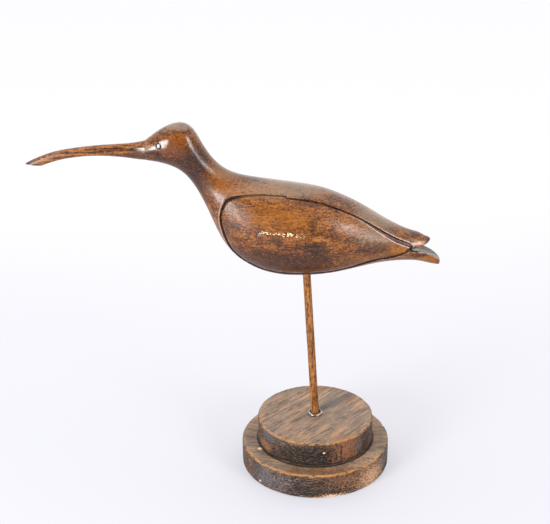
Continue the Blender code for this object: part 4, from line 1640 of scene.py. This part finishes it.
@dataclass(frozen=True)
class PhotoView:
    """The photograph's camera."""

    place_m: Colour = (-0.0401, -1.1883, 0.7685)
    pitch: float = 24.5
    roll: float = 0.6
    lens: float = 86.86
    sensor: float = 36.0

    def build(self) -> bpy.types.Object:
        """Make the camera and give it to the scene."""
        data = bpy.data.cameras.new("photo_view")
        data.lens = self.lens
        data.sensor_width = self.sensor
        data.clip_start, data.clip_end = 0.05, 60.0
        camera = bpy.data.objects.new("photo_view", data)
        bpy.context.scene.collection.objects.link(camera)
        tilt = Matrix.Rotation(math.radians(90.0 - self.pitch), 4, "X")
        twist = Matrix.Rotation(math.radians(-self.roll), 4, "Z")
        camera.matrix_world = Matrix.Translation(self.place_m) @ tilt @ twist
        bpy.context.scene.camera = camera
        return camera


@dataclass(frozen=True)
class Softbox:
    """One rectangular studio light."""

    name: str
    azimuth: float
    elevation: float
    distance_m: float
    width_m: float
    height_m: float
    watts: float
    aim_m: Colour = (-0.05, 0.0, 0.25)

    def build(self) -> bpy.types.Object:
        """Hang the light; azimuth 0 is on the camera's side and 90 on the right."""
        data = bpy.data.lights.new(self.name, "AREA")
        data.shape = "RECTANGLE"
        data.size, data.size_y = self.width_m, self.height_m
        data.energy = self.watts
        light = bpy.data.objects.new(self.name, data)
        bpy.context.scene.collection.objects.link(light)
        turn, rise = math.radians(self.azimuth), math.radians(self.elevation)
        back = Vector((math.sin(turn) * math.cos(rise), -math.cos(turn) * math.cos(rise), math.sin(rise)))
        place = Vector(self.aim_m) + back * self.distance_m
        light.matrix_world = Matrix.Translation(place) @ back.to_track_quat("Z", "Y").to_matrix().to_4x4()
        light.visible_camera = False
        return light


@dataclass(frozen=True)
class Studio:
    """Pale floor, white surroundings and two softboxes."""

    lights: tuple[Softbox, ...] = (
        Softbox("softbox_left", -42.0, 8.0, 1.6, 0.56, 0.85, 44.0),
        Softbox("softbox_right", 46.0, 17.0, 1.6, 0.46, 0.70, 19.0),
    )
    dim: float = 0.18
    bright: float = 1.90
    floor_m: float = 8.0

    def build(self) -> None:
        """Set the stage."""
        for light in self.lights:
            light.build()
        self.surround()
        self.floor()
        bpy.context.scene.view_settings.view_transform = "Standard"

    def surround(self) -> None:
        """Make the white room, brighter behind and above the bird."""
        world = bpy.data.worlds.new("white_room")
        bpy.context.scene.world = world
        world.use_nodes = True
        nodes, links = world.node_tree.nodes, world.node_tree.links
        place = nodes.new("ShaderNodeTexCoord")
        facing = nodes.new("ShaderNodeVectorMath")
        facing.operation = "DOT_PRODUCT"
        facing.inputs[1].default_value = Vector((0.0, 0.72, 0.69))
        links.new(place.outputs["Generated"], facing.inputs[0])
        level = nodes.new("ShaderNodeMapRange")
        level.interpolation_type = "SMOOTHSTEP"
        level.inputs["From Min"].default_value = -0.3
        level.inputs["From Max"].default_value = 0.75
        level.inputs["To Min"].default_value = self.dim
        level.inputs["To Max"].default_value = self.bright
        links.new(facing.outputs["Value"], level.inputs["Value"])
        glow = nodes["Background"]
        glow.inputs["Color"].default_value = (1.0, 1.0, 1.0, 1.0)
        links.new(level.outputs["Result"], glow.inputs["Strength"])

    def floor(self) -> None:
        """Lay the pale floor, which glows as painted light: evenly, lifting its shadows, and more towards the
        back.
        """
        bm = bmesh.new()
        bmesh.ops.create_grid(bm, x_segments=2, y_segments=2, size=self.floor_m / 2.0,
                              matrix=Matrix.Translation((0.0, 1.0, 0.0)))
        r = Recipe("pale_floor")
        back = r.fade(r.axis("Y"), -150.0, 900.0)
        paper = r.mix(r.noise(3.0, 3.0, 0.6), (0.236, 0.234, 0.256), (0.250, 0.248, 0.270))
        material = r.dress(paper, 0.9, None, Specular_IOR_Level=0.2)
        # Painted light: the floor glows, more so towards the back.
        r.link(r.mix(back, (0.945, 0.940, 1.0), (1.0, 1.0, 0.985)), r.shader.inputs["Emission Color"])
        r.link(r.math("MULTIPLY_ADD", back, 0.17, 0.42), r.shader.inputs["Emission Strength"])
        floor = new_piece("pale_floor", bm, material)


def main() -> None:
    """Build the studio, then the bird, its rod and its base."""
    logging.basicConfig(level=logging.INFO, format="%(name)s: %(message)s")
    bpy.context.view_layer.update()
    PhotoView().build()
    Studio().build()
    CarvedBird().build(BirdWood().make())
    Bill().build(BillWood().make())
    glass = BeadGlass().make()
    for side in Side:
        BeadEye(side).build(glass)
    LegRod().build(RodWood().make())
    RodCollar().build(CollarMetal().make())
    for disc in (LOWER_DISC, UPPER_DISC):
        finish = WeatheredWood(f"weathered_{disc.node}", disc.grain, disc.seed, disc.top, disc.radius,
                               disc.stains,
                               disc.seat)
        disc.build(finish.make())


if __name__ == "__main__":
    main()
